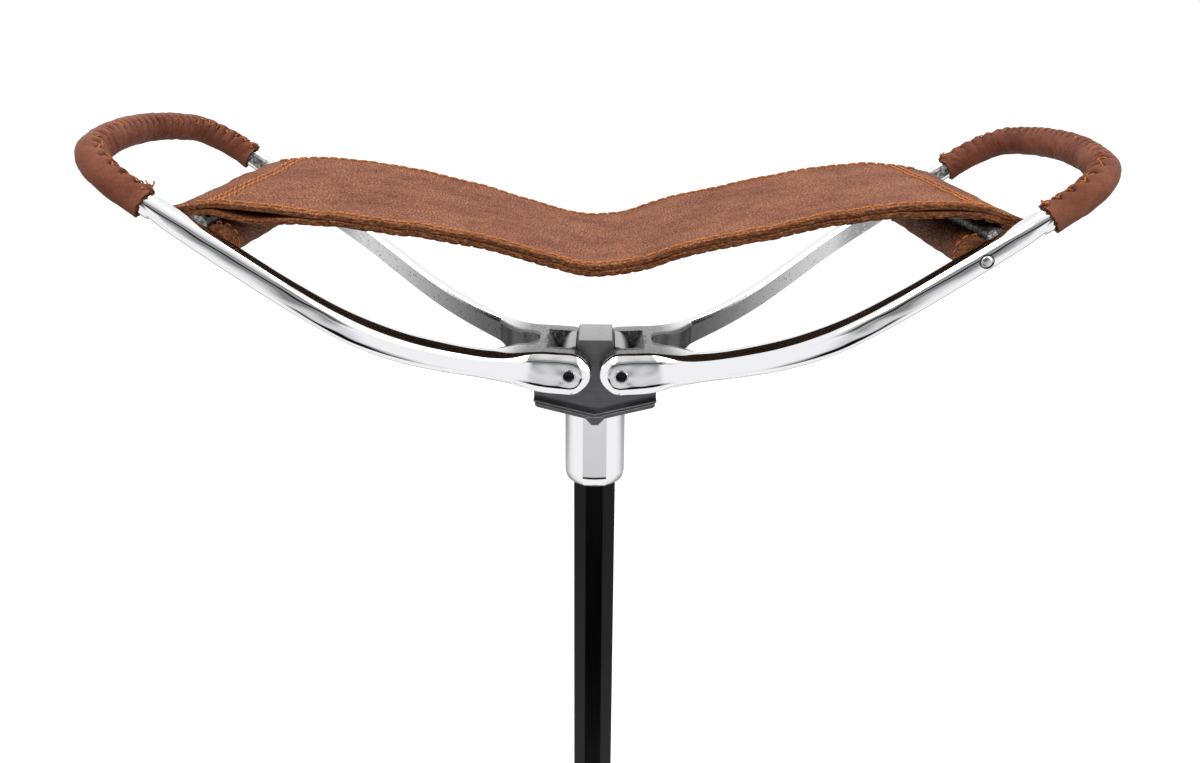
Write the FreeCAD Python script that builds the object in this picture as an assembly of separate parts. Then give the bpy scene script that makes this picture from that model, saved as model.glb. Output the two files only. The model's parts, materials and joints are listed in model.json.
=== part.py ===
import FreeCAD, Part
import math
import os

# Walking stick seat: a leather sling between two folding cast arms on top of an octagonal stick.
# Millimetres. +Z is up, +X is to the right of someone who faces the seat, +Y is to its back.
# The origin is the middle of the foot, on the ground. The arms are open, as for sitting.

# Heights on the stick
pin_height = 620.0           # hinge pins above the ground
tube_bottom = 74.0           # lower end of the stick tube above the ground

# Hinge
pin_offset = 12.3            # each hinge pin from the middle plane
pin_radius = 3.0
pin_wall = 0.7               # the spring pins are rolled from strip
pin_slit = 1.0
tight_clearance = 0.01       # radial, a pin held in a hole
running_clearance = 0.05     # radial, a pin that turns in a hole
side_clearance = 0.3         # each side, between the head and the ears
left_arm_lift = 1.0          # degrees, play by which the left arm stands above its stop

# Head block
head_half_depth = 13.6
head_top = 14.0              # above the hinge pins
head_top_half_width = 8.0
head_shoulder = 10.8         # height at which the draft of the top ends and the knuckles start
knuckle_radius = 7.6         # round outer shoulder of each knuckle
knuckle_reach = 4.4          # outer side of the knuckle beyond the pin
knuckle_bottom = -6.0
knuckle_foot = 2.0           # the knuckle flares out to the wing
wing_reach = 29.4            # end of each stop wing from the middle plane
wing_slope = 14.0            # degrees, the wings rise outwards
wing_top_at_middle = -14.6   # where the line of the wing tops crosses the middle plane
lip_top_at_middle = -22.0
lip_thickness = 3.3
lip_overhang = 4.2           # the lip stands out from the head's faces
lip_groove = 0.6
nose_width = 9.2
nose_tip_width = 3.7
nose_drop = 4.4
spigot_length = 38.0         # below the head, inside the tube

# Arms
arm_half_depth = 25.4        # outer faces of the yoke's ears
ear_radius = 10.3            # round end of the ears
window_end = 23.3            # outer wall of the yoke's window from the middle plane
window_chamfer = 1.2
ear_flat_past_window = 2.0   # the ears' outer faces stay flat as far as this
opening_start = 26.9         # inner end of the opening between the rails
opening_end_radius = 9.0
rail_width = 11.2
stop_clearance = 0.05
# Lines of the rails, from the middle plane outwards: distance, height above the pins
rail_top_line = [(34.0, 11.0), (50.0, 13.6), (68.0, 19.7), (85.0, 27.2), (104.0, 38.2)]
rail_bottom_line = [(28.0, -8.6), (38.0, -4.6), (50.0, 0.1), (68.0, 6.4), (85.0, 13.6), (104.0, 24.4)]
rail_slope = 34.3            # degrees, the straight outer stretch
rail_height_outer = 8.8      # square to the rail, at its outer end
rail_edge_radius = 1.6
grip_half_width = 66.8       # middle of the grip bar beside the opening
# Distance from the middle plane, share of the way that the rails spread from the yoke's width to
# the grip's
rail_spread_line = [(50.0, 0.204), (66.0, 0.391), (85.0, 0.621), (104.0, 0.826), (124.0, 0.945),
                    (148.0, 0.974)]
grip_apex = 210.8            # middle of the grip bar from the middle plane
grip_depth = 26.3            # from the rails' ends to the apex
grip_corner_radius = 24.0
grip_bow_radius = 210.0
grip_bar_radius = 4.8
wrap_radius = 6.4
wrap_clearance = 0.2         # between the leather and the metal under it
grip_root = 8.0              # length of the grip bar inside the rails
rail_end = grip_apex - grip_depth

# What carries the seat, on the middle line of the rails
crossbar_before_end = 21.8   # from the rails' ends
crossbar_at = rail_end - crossbar_before_end
crossbar_radius = 4.2
crossbar_rise = 2.0          # above the rails' middle line
crossbar_root = 2.0          # length of the crossbar inside each rail
rod_before_crossbar = 6.9
rod_at = crossbar_at - rod_before_crossbar
rod_radius = 2.5
end_recess = 0.4             # pin and rod ends below the faces they come out of
rod_chamfer = 0.8

# Seat sling
sling_side_gap = 2.3         # between the sling and the rails' inner faces
sling_half_width = grip_half_width - rail_width / 2 - sling_side_gap
ply_thickness = 2.4
ply_gap = 0.1
sling_end_past_rod = 0.2
sling_end = rod_at + sling_end_past_rod   # where the sling runs over into its end loops
soft_clearance = 0.3
sling_end_rise = 13.65       # top of the sling at its ends, above the crossbars' middle
# Top of the sling: distance from the middle plane, then distance from the end, each with the height
# above the ends
sling_dip_line = [(0.0, -26.0), (14.0, -24.2), (30.0, -19.6), (46.0, -15.2)]
sling_end_line = [(60.0, -4.2), (34.0, -0.4), (14.0, 0.8), (0.0, 0.0)]
loop_thickness = 4.2
loop_lap = 1.0               # by which the lead-in laps over the turn round the crossbar
loop_inset = 0.1             # the lead-in lies this far inside the turn's faces
run_inset = 0.02             # the run to the rod lies this far inside the turn's inner face

# Stick
tube_across_flats = 20.8
tube_wall = 1.6
tube_top = -30.0             # from the pins
fit_clearance = 0.08         # each side, between tube, collar, spigot and plug
socket_room = 0.5            # between the tube's end and the bottom of the collar's socket
collar_across_flats = 29.6
collar_bottom = -62.0        # from the pins
collar_edge_radius = 3.0
collar_pin_radius = 2.0
collar_pin_below_tube_top = 16.0
collar_pin_length = 19.0

# Tools
beyond = 400.0               # a length past the end of any piece, for cuts that go right through
past = 1.0                   # by which a cut runs past the face that it opens
same_place = 0.01            # lengths closer than this are taken as equal

# Foot
foot_ferrule_radius = 13.0
foot_ferrule_grip = 26.0     # length over the tube
foot_ferrule_base = 16.0     # solid length under the tube
foot_ferrule_taper = 3.0
foot_ferrule_edge_radius = 1.2
plug_length = 40.0
plug_solid_top = 8.0         # length of the plug above the stud's hole
stud_end_gap = 2.0           # between the stud's end and the bottom of its hole
plate_radius = 38.0
plate_thickness = 3.0
plate_rim = 4.0
plate_rim_drop = 5.0
plate_rim_slant = 1.8        # the rim's lower edge is this far inside and below its upper one
plate_bend_offset = 1.5      # the underside bends this far inside the top
washer_radius = 12.0
washer_thickness = 1.5
nut_across_flats = 17.0
nut_height = 7.0
nut_chamfer = 1.0            # taken off the corners at the lower end
spike_radius = 5.0
spike_tip_radius = 1.2
spike_gap = 0.5              # between the nut and the spike's shoulder
spike_point = 5.0            # tip of the spike above the ground, inside the rubber
spike_taper = 16.0
stud_radius = 4.0
rubber_top_radius = 10.5
rubber_foot_radius = 17.0
rubber_foot_height = 9.0
rubber_foot_edge = 1.5       # chamfer at the ground
rubber_foot_slope = 3.0      # height of the foot's sloping top
rubber_neck_flare = 1.5
rubber_neck_rise = 2.0
rubber_gap = 1.5             # between the rubber and the nut
rubber_rib_count = 4
rubber_rib_depth = 1.0
rubber_rib_width = 1.6
rubber_rib_start = 5.0       # first groove above the foot
rubber_rib_end = 1.0         # left free below the top
rubber_washer_radius = 9.0
rubber_washer_thickness = 1.5
rubber_washer_height = 3.0


def vec(x, y, z):
    return FreeCAD.Vector(x, y, z)


def tan_deg(angle):
    return math.tan(math.radians(angle))


def box(low, high):
    size = high - low
    return Part.makeBox(size.x, size.y, size.z, low)


def rod_along_y(x, z, radius, y_low, y_high):
    return Part.makeCylinder(radius, y_high - y_low, vec(x, y_low, z), vec(0, 1, 0))


def round_bar(radius, low, high):
    return Part.makeCylinder(radius, high - low, vec(0, 0, low))


def octagon_bar(across_flats, low, high):
    corner = across_flats / 2 / math.cos(math.radians(22.5))
    turns = [math.radians(22.5 + 45 * step) for step in range(9)]
    points = [vec(corner * math.cos(turn), corner * math.sin(turn), low) for turn in turns]
    return Part.Face(Part.makePolygon(points)).extrude(vec(0, 0, high - low))


def side_prism(edges, half_depth):
    """Closed outline in the XZ plane, extruded to both sides of the middle plane."""
    face = Part.Face(Part.Wire(Part.__sortEdges__(edges)))
    solid = face.extrude(vec(0, 2 * half_depth, 0))
    solid.translate(vec(0, -half_depth, 0))
    return solid


def polygon_prism(points, half_depth):
    corners = [vec(x, 0, z) for x, z in points]
    return side_prism(Part.makePolygon(corners + corners[:1]).Edges, half_depth)


def curve_through(points, start_direction=None, end_direction=None):
    curve = Part.BSplineCurve()
    if start_direction is None:
        curve.interpolate(points)
    else:
        curve.interpolate(Points=points, InitialTangent=start_direction, FinalTangent=end_direction)
    return curve.toShape()


def arc(first, middle, last):
    return Part.Arc(first, middle, last).toShape()


def line(first, last):
    return Part.LineSegment(first, last).toShape()


def mirrored(shape):
    return shape.mirror(vec(0, 0, 0), vec(1, 0, 0))


def wing_line(level, x):
    return level + x * tan_deg(wing_slope)


def wing_band(top_level, bottom_level, reach, half_depth):
    """A V-shaped band that rises from the middle plane to both sides."""
    points = [(0, top_level), (reach, wing_line(top_level, reach)),
              (reach, wing_line(bottom_level, reach)), (0, bottom_level),
              (-reach, wing_line(bottom_level, reach)), (-reach, wing_line(top_level, reach))]
    return polygon_prism(points, half_depth)


def head_outline():
    """The head from the front: a drafted top, round knuckles, and feet that reach into the wings."""
    outer_x = pin_offset + knuckle_reach
    shoulder_x = outer_x - knuckle_radius
    foot_x = outer_x + knuckle_foot
    centre_z = head_shoulder - knuckle_radius
    across = knuckle_radius * math.sqrt(0.5)
    top_corner = vec(head_top_half_width, 0, head_top)
    arc_start = vec(shoulder_x, 0, head_shoulder)
    arc_middle = vec(shoulder_x + across, 0, centre_z + across)
    arc_end = vec(outer_x, 0, centre_z)
    knuckle_low = vec(outer_x, 0, knuckle_bottom)
    foot_high = vec(foot_x, 0, wing_line(wing_top_at_middle, foot_x))
    foot_low = vec(foot_x, 0, wing_top_at_middle)
    right = [
        line(top_corner, arc_start), arc(arc_start, arc_middle, arc_end), line(arc_end, knuckle_low),
        line(knuckle_low, foot_high), line(foot_high, foot_low)]
    left = [mirrored(edge) for edge in right]
    top = line(vec(-head_top_half_width, 0, head_top), top_corner)
    bottom = line(vec(-foot_x, 0, wing_top_at_middle), foot_low)
    return right + left + [top, bottom]


def head_block():
    body = side_prism(head_outline(), head_half_depth)
    lip_bottom = lip_top_at_middle - lip_thickness
    lip_reach = head_half_depth + lip_overhang
    web = wing_band(wing_top_at_middle, lip_bottom, wing_reach, head_half_depth)
    lip = wing_band(lip_top_at_middle, lip_bottom, wing_reach, lip_reach)
    middle = (lip_top_at_middle + lip_bottom) / 2
    groove = wing_band(middle + lip_groove / 2, middle - lip_groove / 2, wing_reach + past, lip_reach + past)
    groove = groove.cut(wing_band(lip_top_at_middle, lip_bottom, wing_reach - lip_groove,
                                  lip_reach - lip_groove))
    low = lip_top_at_middle - nose_drop
    nose = polygon_prism([(-nose_width / 2, lip_top_at_middle), (nose_width / 2, lip_top_at_middle),
                          (nose_tip_width / 2, low), (-nose_tip_width / 2, low)], lip_reach)
    spigot_radius = tube_across_flats / 2 - tube_wall - fit_clearance
    spigot = round_bar(spigot_radius, tube_top - spigot_length, lip_top_at_middle)
    head = body.fuse([web, lip, nose, spigot]).removeSplitter()
    head = head.cut(groove)
    for side in (-1, 1):
        hole = rod_along_y(side * pin_offset, 0, pin_radius + running_clearance, -beyond, beyond)
        head = head.cut(hole)
    return head.cut(collar_pin_hole())


def collar_pin_height():
    return tube_top - collar_pin_below_tube_top


def collar_pin_hole():
    """The pin is driven in from the back and stops short of the front."""
    back = collar_across_flats / 2
    return rod_along_y(0, collar_pin_height(), collar_pin_radius, back - collar_pin_length, back + past)


def collar_pin():
    back = collar_across_flats / 2
    return rod_along_y(0, collar_pin_height(), collar_pin_radius - tight_clearance,
                       back - collar_pin_length, back - end_recess)


def collar():
    """An octagonal sleeve, cut off at the top by the underside of the head's lip."""
    body = octagon_bar(collar_across_flats, collar_bottom, 0)
    low_edges = [edge for edge in body.Edges if edge.BoundBox.ZMax < collar_bottom + same_place]
    upright = [edge for edge in body.Edges if edge.BoundBox.ZLength > collar_edge_radius]
    body = body.makeFillet(collar_edge_radius, low_edges + upright)
    head_space = wing_band(beyond, lip_top_at_middle - lip_thickness - stop_clearance, beyond, beyond)
    body = body.cut(head_space)
    body = body.cut(nose_space())
    body = body.cut(round_bar(tube_across_flats / 2 - tube_wall, collar_bottom - past, 0))
    socket = octagon_bar(tube_across_flats + 2 * fit_clearance, collar_bottom - past, tube_top + socket_room)
    return body.cut(socket).cut(collar_pin_hole())


def nose_space():
    low = lip_top_at_middle - nose_drop - stop_clearance
    half = nose_width / 2 + stop_clearance
    return polygon_prism([(-half, lip_top_at_middle), (half, lip_top_at_middle),
                          (half, low), (-half, low)], head_half_depth + lip_overhang + past)


def stick_tube():
    inner = tube_across_flats - 2 * tube_wall
    bottom = tube_bottom - pin_height
    tube = octagon_bar(tube_across_flats, bottom, tube_top)
    tube = tube.cut(octagon_bar(inner, bottom - past, tube_top + past))
    return tube.cut(collar_pin_hole())


def rail_middle(x):
    """Height of the rails' middle line along their straight outer stretch."""
    inner_x = rail_top_line[-1][0]
    inner_z = (rail_top_line[-1][1] + rail_bottom_line[-1][1]) / 2
    return inner_z + (x - inner_x) * tan_deg(rail_slope)


def arm_side_outline():
    """The arm from the side: a round ear, a curve, and a straight taper with an end square to it."""
    slope = math.radians(rail_slope)
    end_middle = vec(rail_end, 0, rail_middle(rail_end))
    to_top = vec(-math.sin(slope), 0, math.cos(slope)) * (rail_height_outer / 2)
    top_end = end_middle + to_top
    bottom_end = end_middle - to_top
    ear_top = vec(pin_offset, 0, ear_radius)
    ear_bottom = vec(pin_offset, 0, -ear_radius)
    top_points = [vec(x, 0, z) for x, z in rail_top_line]
    bottom_points = [vec(x, 0, z) for x, z in rail_bottom_line]
    outwards = vec(1, 0, 0)
    up_slope = (top_end - top_points[-1]).normalize()
    down_slope = (bottom_end - bottom_points[-1]).normalize()
    return [
        arc(ear_top, vec(pin_offset - ear_radius, 0, 0), ear_bottom),
        curve_through([ear_bottom] + bottom_points, outwards, down_slope),
        line(bottom_points[-1], bottom_end),
        line(bottom_end, top_end),
        line(top_end, top_points[-1]),
        curve_through([ear_top] + top_points, outwards, up_slope)]


def rail_half_distance(share):
    """From the middle plane to a rail's middle line, where the rails have spread by this share."""
    at_yoke = arm_half_depth - rail_width / 2
    return at_yoke + share * (grip_half_width - at_yoke)


def plan_points(offset):
    """The rail's middle line in plan, moved square to itself by the offset."""
    points = [(x, rail_half_distance(share)) for x, share in rail_spread_line]
    points.append((rail_end, grip_half_width))
    moved = []
    for index, (x, y) in enumerate(points):
        before = points[max(index - 1, 0)]
        after = points[min(index + 1, len(points) - 1)]
        run = math.hypot(after[0] - before[0], after[1] - before[1])
        across = ((before[1] - after[1]) / run, (after[0] - before[0]) / run)
        moved.append(vec(x + across[0] * offset, y + across[1] * offset, 0))
    moved[-1].x = rail_end
    return moved


def arm_plan_face():
    """The arm from above: the yoke's block and two rails that spread round the opening."""
    inner_x = pin_offset - ear_radius
    ear_end = window_end + ear_flat_past_window
    outer = plan_points(rail_width / 2)
    inner = plan_points(-rail_width / 2)
    along = vec(1, 0, 0)
    to_end = along * rail_height_outer
    corner = vec(inner_x, arm_half_depth, 0)
    ear_corner = vec(ear_end, arm_half_depth, 0)
    opening_side = vec(opening_start + opening_end_radius, opening_end_radius, 0)
    leaving = (inner[0] - opening_side).normalize()
    opening_tip = vec(opening_start, 0, 0)
    bulge = opening_end_radius * (1 - math.sqrt(0.5))
    opening_middle = vec(opening_start + bulge, opening_end_radius * math.sqrt(0.5), 0)
    half = [
        line(vec(inner_x, 0, 0), corner),
        line(corner, ear_corner),
        curve_through([ear_corner] + outer, along, along),
        line(outer[-1], outer[-1] + to_end),
        line(outer[-1] + to_end, inner[-1] + to_end),
        line(inner[-1] + to_end, inner[-1]),
        curve_through([opening_side] + inner, leaving, along),
        arc(opening_side, opening_middle, opening_tip)]
    across = vec(0, 1, 0)
    other = [edge.mirror(vec(0, 0, 0), across) for edge in half]
    return Part.Face(Part.Wire(Part.__sortEdges__(half + other)))


def grip_path(x_start):
    """Middle line of the grip bar: straight, round the corner, a slight bow, and back."""
    slope = math.radians(rail_slope)
    apex = grip_apex / math.cos(slope)
    bow_centre = apex - grip_bow_radius
    corner_y = grip_half_width - grip_corner_radius
    reach = math.sqrt((grip_bow_radius - grip_corner_radius) ** 2 - corner_y ** 2)
    corner_s = bow_centre + reach
    scale = grip_bow_radius / (grip_bow_radius - grip_corner_radius)
    meet = (bow_centre + reach * scale, corner_y * scale)
    turn = math.atan2(corner_y, reach)
    middle_turn = (math.pi / 2 + turn) / 2
    corner_middle = (corner_s + grip_corner_radius * math.cos(middle_turn),
                     corner_y + grip_corner_radius * math.sin(middle_turn))
    height = rail_middle(0)

    def at(s, y):
        return vec(s * math.cos(slope), y, height + s * math.sin(slope))

    start_s = x_start / math.cos(slope)
    edges = [line(at(start_s, grip_half_width), at(corner_s, grip_half_width)),
             arc(at(corner_s, grip_half_width), at(*corner_middle), at(*meet)),
             arc(at(*meet), at(apex, 0), at(meet[0], -meet[1])),
             arc(at(meet[0], -meet[1]), at(corner_middle[0], -corner_middle[1]),
                 at(corner_s, -grip_half_width)),
             line(at(corner_s, -grip_half_width), at(start_s, -grip_half_width))]
    return Part.Wire(edges)


def pipe(path, radius):
    first = path.Edges[0]
    start = first.valueAt(first.FirstParameter)
    direction = first.tangentAt(first.FirstParameter)
    ring = Part.Wire(Part.makeCircle(radius, start, direction))
    return path.makePipeShell([ring], True, False)


def crossbar_height():
    return rail_middle(crossbar_at) + crossbar_rise


def arm(lift):
    """One arm, on the right. Its stop face allows for the angle by which it stands above level."""
    depth = grip_half_width + rail_width
    side = side_prism(arm_side_outline(), depth)
    plan = arm_plan_face().extrude(vec(0, 0, 2 * beyond))
    plan.translate(vec(0, 0, -beyond))
    body = round_rail_edges(side.common(plan))
    window = box(vec(-beyond, -head_half_depth - side_clearance, -beyond),
                 vec(window_end, head_half_depth + side_clearance, beyond))
    body = body.cut(window)
    body = body.cut(window_end_chamfer())
    stop = wing_band(wing_top_at_middle + stop_clearance, -beyond, wing_reach + side_clearance,
                     head_half_depth + side_clearance)
    stop.rotate(vec(pin_offset, 0, 0), vec(0, 1, 0), lift)
    body = body.cut(stop)
    inner_face = grip_half_width - rail_width / 2
    bar_reach = inner_face + crossbar_root
    bar = rod_along_y(crossbar_at, crossbar_height(), crossbar_radius, -bar_reach, bar_reach)
    grip = pipe(grip_path(rail_end - grip_root), grip_bar_radius)
    body = body.fuse([bar, grip])
    pin_hole = rod_along_y(pin_offset, 0, pin_radius + tight_clearance, -depth, depth)
    rod_hole = rod_along_y(rod_at, rail_middle(rod_at), rod_radius + tight_clearance, -depth, depth)
    return body.cut([pin_hole, rod_hole])


def round_rail_edges(body):
    """Rounds the long edges of the rails, on their outer and inner sides."""
    rails = body.Solids[0]
    long_edges = [edge for edge in rails.Edges if edge.BoundBox.XLength > opening_start]
    return rails.makeFillet(rail_edge_radius, long_edges)


def window_end_chamfer():
    """A wedge that takes off the upper edge of the window's outer wall."""
    rise = 3 * window_chamfer
    inner_x = window_end - past
    return polygon_prism([(inner_x, ear_radius - window_chamfer - past), (inner_x, ear_radius + rise),
                          (window_end + window_chamfer + rise, ear_radius + rise)],
                         head_half_depth + side_clearance)


def hinge_pin():
    """A spring pin rolled from strip, with its slit turned away from the load."""
    reach = arm_half_depth - end_recess
    pin = rod_along_y(pin_offset, 0, pin_radius, -reach, reach)
    bore = rod_along_y(pin_offset, 0, pin_radius - pin_wall, -beyond, beyond)
    slit = box(vec(pin_offset - pin_slit / 2, -beyond, 0),
               vec(pin_offset + pin_slit / 2, beyond, pin_radius + past))
    return pin.cut(bore).cut(slit)


def strap_rod():
    """A plain rod with chamfered ends, just below the rails' outer faces."""
    reach = rod_face_reach() - end_recess
    height = rail_middle(rod_at)
    rod = rod_along_y(rod_at, height, rod_radius, -reach, reach)
    ends = [edge for edge in rod.Edges if edge.Closed]
    return rod.makeChamfer(rod_chamfer, ends)


def rod_face_reach():
    """Outer face of the rails where the rod comes through."""
    last_x, last_share = rail_spread_line[-1]
    left_over = (rail_end - rod_at) / (rail_end - last_x)
    return rail_half_distance(1 - left_over * (1 - last_share)) + rail_width / 2


def handle_wrap():
    """The leather starts where the rails end."""
    outer = pipe(grip_path(rail_end + wrap_clearance), wrap_radius)
    return outer.cut(pipe(grip_path(rail_end), grip_bar_radius + wrap_clearance))


def ring_part(centre_x, centre_z, inner, outer, half_depth):
    ring = rod_along_y(centre_x, centre_z, outer, -half_depth, half_depth)
    return ring.cut(rod_along_y(centre_x, centre_z, inner, -half_depth - past, half_depth + past))


def strap_loop():
    """The strap's end: over the crossbar, down its outer side and round the rod."""
    bar_z = crossbar_height()
    rod_z = rail_middle(rod_at)
    bar_inner = crossbar_radius + fit_clearance
    rod_inner = rod_radius + fit_clearance
    bar_outer = bar_inner + loop_thickness
    rod_outer = rod_inner + loop_thickness
    turn = ring_part(crossbar_at, bar_z, bar_inner, bar_outer, sling_half_width)
    turn = turn.cut(box(vec(-beyond, -beyond, -beyond), vec(crossbar_at, beyond, beyond)))
    eye = ring_part(rod_at, rod_z, rod_inner, rod_outer, sling_half_width)
    distance = math.hypot(crossbar_at - rod_at, bar_z - rod_z)
    tilt = math.atan2(bar_z - rod_z, crossbar_at - rod_at)
    swing = tilt - math.pi / 2 - math.asin((bar_outer - rod_outer) / distance)

    def tangent_point(x, z, radius):
        return (x + radius * math.cos(swing), z + radius * math.sin(swing))

    run = polygon_prism([tangent_point(crossbar_at, bar_z, bar_inner + run_inset),
                         tangent_point(crossbar_at, bar_z, bar_outer),
                         tangent_point(rod_at, rod_z, rod_outer),
                         tangent_point(rod_at, rod_z, rod_inner + run_inset)],
                        sling_half_width)
    top = bar_z + sling_end_rise
    under = top - 2 * ply_thickness - ply_gap
    start = sling_end + soft_clearance
    lead = polygon_prism([(start, top), (crossbar_at + loop_lap, bar_z + bar_outer - loop_inset),
                          (crossbar_at + loop_lap, bar_z + bar_inner + loop_inset),
                          (crossbar_at - loop_lap, bar_z + bar_inner + loop_inset), (start, under)],
                         sling_half_width)
    bar_space = rod_along_y(crossbar_at, bar_z, bar_inner, -beyond, beyond)
    rod_space = rod_along_y(rod_at, rod_z, rod_inner, -beyond, beyond)
    loop = turn.fuse([eye, run, lead])
    return loop.cut([bar_space, rod_space]).removeSplitter()


def lifted(x, z, lift):
    """A point on the left side, turned about the left hinge pin."""
    turn = math.radians(lift)
    run = x + pin_offset
    return (-pin_offset + run * math.cos(turn) + z * math.sin(turn),
            z * math.cos(turn) - run * math.sin(turn))


def sling_points(drop):
    """Points along the right half of a surface that lies by the drop below the sling's top."""
    end_height = crossbar_height() + sling_end_rise - drop
    dip = [(x, end_height + rise) for x, rise in sling_dip_line]
    return dip + [(sling_end - before, end_height + rise) for before, rise in sling_end_line]


def sling_ply(drop):
    """One ply of the sling: a strip that hangs in a soft V and follows the lifted left arm."""
    right = sling_points(drop)
    left = [lifted(-x, z, left_arm_lift * x / sling_end) for x, z in reversed(right[1:])]
    points = [vec(x, 0, z) for x, z in left + right]
    top = curve_through(points)
    bottom = top.copy()
    bottom.translate(vec(0, 0, -ply_thickness))
    lower = [point - vec(0, 0, ply_thickness) for point in points]
    edges = [top, line(points[-1], lower[-1]), bottom, line(lower[0], points[0])]
    return side_prism(edges, sling_half_width)


def foot_level(height):
    return height - pin_height


def round_edges_at(body, height):
    """The round edges of a turned body that lie at one height."""
    found = []
    for edge in body.Edges:
        bounds = edge.BoundBox
        flat = bounds.ZLength < same_place
        if edge.Closed and flat and abs(bounds.ZMin - height) < same_place:
            found.append(edge)
    return found


def foot_ferrule():
    top = foot_level(tube_bottom + foot_ferrule_grip)
    bottom = foot_level(tube_bottom - foot_ferrule_base)
    body = round_bar(foot_ferrule_radius, bottom, top)
    body = body.makeChamfer(foot_ferrule_taper, round_edges_at(body, bottom))
    body = body.makeFillet(foot_ferrule_edge_radius, round_edges_at(body, top))
    socket = octagon_bar(tube_across_flats + 2 * fit_clearance, foot_level(tube_bottom), top + past)
    stud = round_bar(stud_radius + running_clearance, bottom - past, top)
    return body.cut([socket, stud])


def stud_hole_top():
    return foot_level(tube_bottom) + plug_length - plug_solid_top


def end_plug():
    inner = tube_across_flats - 2 * tube_wall - 2 * fit_clearance
    bottom = foot_level(tube_bottom)
    plug = octagon_bar(inner, bottom, bottom + plug_length)
    return plug.cut(round_bar(stud_radius + tight_clearance, bottom - past, stud_hole_top()))


def plate_top():
    return foot_level(tube_bottom - foot_ferrule_base)


def ground_plate():
    """A disc whose rim is turned down, so that it bites in soft ground."""
    top = plate_top()
    inner = plate_radius - plate_rim
    outline = [(stud_radius + running_clearance, top), (inner, top), (plate_radius, top - plate_rim_drop),
               (plate_radius - plate_rim_slant, top - plate_rim_drop - plate_rim_slant),
               (inner - plate_bend_offset, top - plate_thickness),
               (stud_radius + running_clearance, top - plate_thickness)]
    points = [vec(x, 0, z) for x, z in outline]
    face = Part.Face(Part.makePolygon(points + points[:1]))
    return face.revolve(vec(0, 0, 0), vec(0, 0, 1), 360)


def plate_washer():
    top = plate_top() - plate_thickness
    return ring_bar(stud_radius + running_clearance, washer_radius, top - washer_thickness, top)


def plate_nut():
    top = plate_top() - plate_thickness - washer_thickness
    corner = nut_across_flats / 2 / math.cos(math.radians(30))
    bottom = top - nut_height
    turns = [math.radians(60 * step) for step in range(7)]
    points = [vec(corner * math.cos(turn), corner * math.sin(turn), bottom) for turn in turns]
    nut = Part.Face(Part.makePolygon(points)).extrude(vec(0, 0, nut_height))
    low_radius = corner - nut_chamfer
    cone = Part.makeCone(low_radius, low_radius + nut_height, nut_height, vec(0, 0, bottom))
    nut = nut.common(cone)
    return nut.cut(round_bar(stud_radius + tight_clearance, bottom - past, top + past))


def spike():
    """A threaded stud above, a plain shank below, and a blunt point."""
    shank_top = plate_top() - plate_thickness - washer_thickness - nut_height
    tip = foot_level(spike_point)
    shank = round_bar(spike_radius, tip + spike_taper, shank_top - spike_gap)
    point = Part.makeCone(spike_tip_radius, spike_radius, spike_taper, vec(0, 0, tip))
    stud = round_bar(stud_radius, tip + spike_taper, stud_hole_top() - stud_end_gap)
    return shank.fuse([point, stud]).removeSplitter()


def rubber_ferrule():
    """A rubber cup over the spike, with a wide foot and grip ribs round its neck."""
    ground = foot_level(0)
    top = plate_top() - plate_thickness - washer_thickness - nut_height - rubber_gap
    foot_top = ground + rubber_foot_height
    neck = rubber_top_radius
    outline = [(0, ground), (rubber_foot_radius - rubber_foot_edge, ground),
               (rubber_foot_radius, ground + rubber_foot_edge),
               (rubber_foot_radius, foot_top - rubber_foot_slope), (neck + rubber_neck_flare, foot_top),
               (neck, foot_top + rubber_neck_rise), (neck, top), (0, top)]
    points = [vec(x, 0, z) for x, z in outline]
    body = Part.Face(Part.makePolygon(points + points[:1])).revolve(vec(0, 0, 0), vec(0, 0, 1), 360)
    first_groove = foot_top + rubber_rib_start
    spacing = (top - rubber_rib_end - first_groove) / rubber_rib_count
    for step in range(rubber_rib_count):
        low = first_groove + step * spacing
        groove = ring_bar(neck - rubber_rib_depth, neck + past, low, low + rubber_rib_width)
        body = body.cut(groove)
    bore_bottom = ground + rubber_washer_height + rubber_washer_thickness
    bore = round_bar(spike_radius + running_clearance, bore_bottom, top + past)
    slot = round_bar(rubber_washer_radius + running_clearance, ground + rubber_washer_height, bore_bottom)
    return body.cut(bore).cut(slot)


def ring_bar(inner, outer, low, high):
    return round_bar(outer, low, high).cut(round_bar(inner, low - past, high + past))


def rubber_washer():
    low = foot_level(0) + rubber_washer_height
    return round_bar(rubber_washer_radius, low, low + rubber_washer_thickness)


def left_side(shape):
    """The same piece on the left arm, which stands a little above its stop."""
    turned = mirrored(shape)
    turned.rotate(vec(-pin_offset, 0, 0), vec(0, 1, 0), left_arm_lift)
    return turned


def build_nodes():
    nodes = {
        "head_block": head_block(),
        "collar": collar(),
        "collar_pin": collar_pin(),
        "stick_tube": stick_tube(),
        "foot_ferrule": foot_ferrule(),
        "end_plug": end_plug(),
        "ground_plate": ground_plate(),
        "plate_washer": plate_washer(),
        "plate_nut": plate_nut(),
        "spike": spike(),
        "rubber_ferrule": rubber_ferrule(),
        "rubber_ferrule_washer": rubber_washer(),
        "sling_top_ply": sling_ply(0),
        "sling_bottom_ply": sling_ply(ply_thickness + ply_gap)}
    nodes["right_arm"] = arm(0)
    nodes["left_arm"] = left_side(arm(left_arm_lift))
    carried_pieces = {
        "hinge_pin": hinge_pin(),
        "handle_wrap": handle_wrap(),
        "strap_rod": strap_rod(),
        "strap_loop": strap_loop()}
    for name, shape in carried_pieces.items():
        nodes["right_" + name] = shape
        nodes["left_" + name] = left_side(shape)
    return nodes


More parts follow.
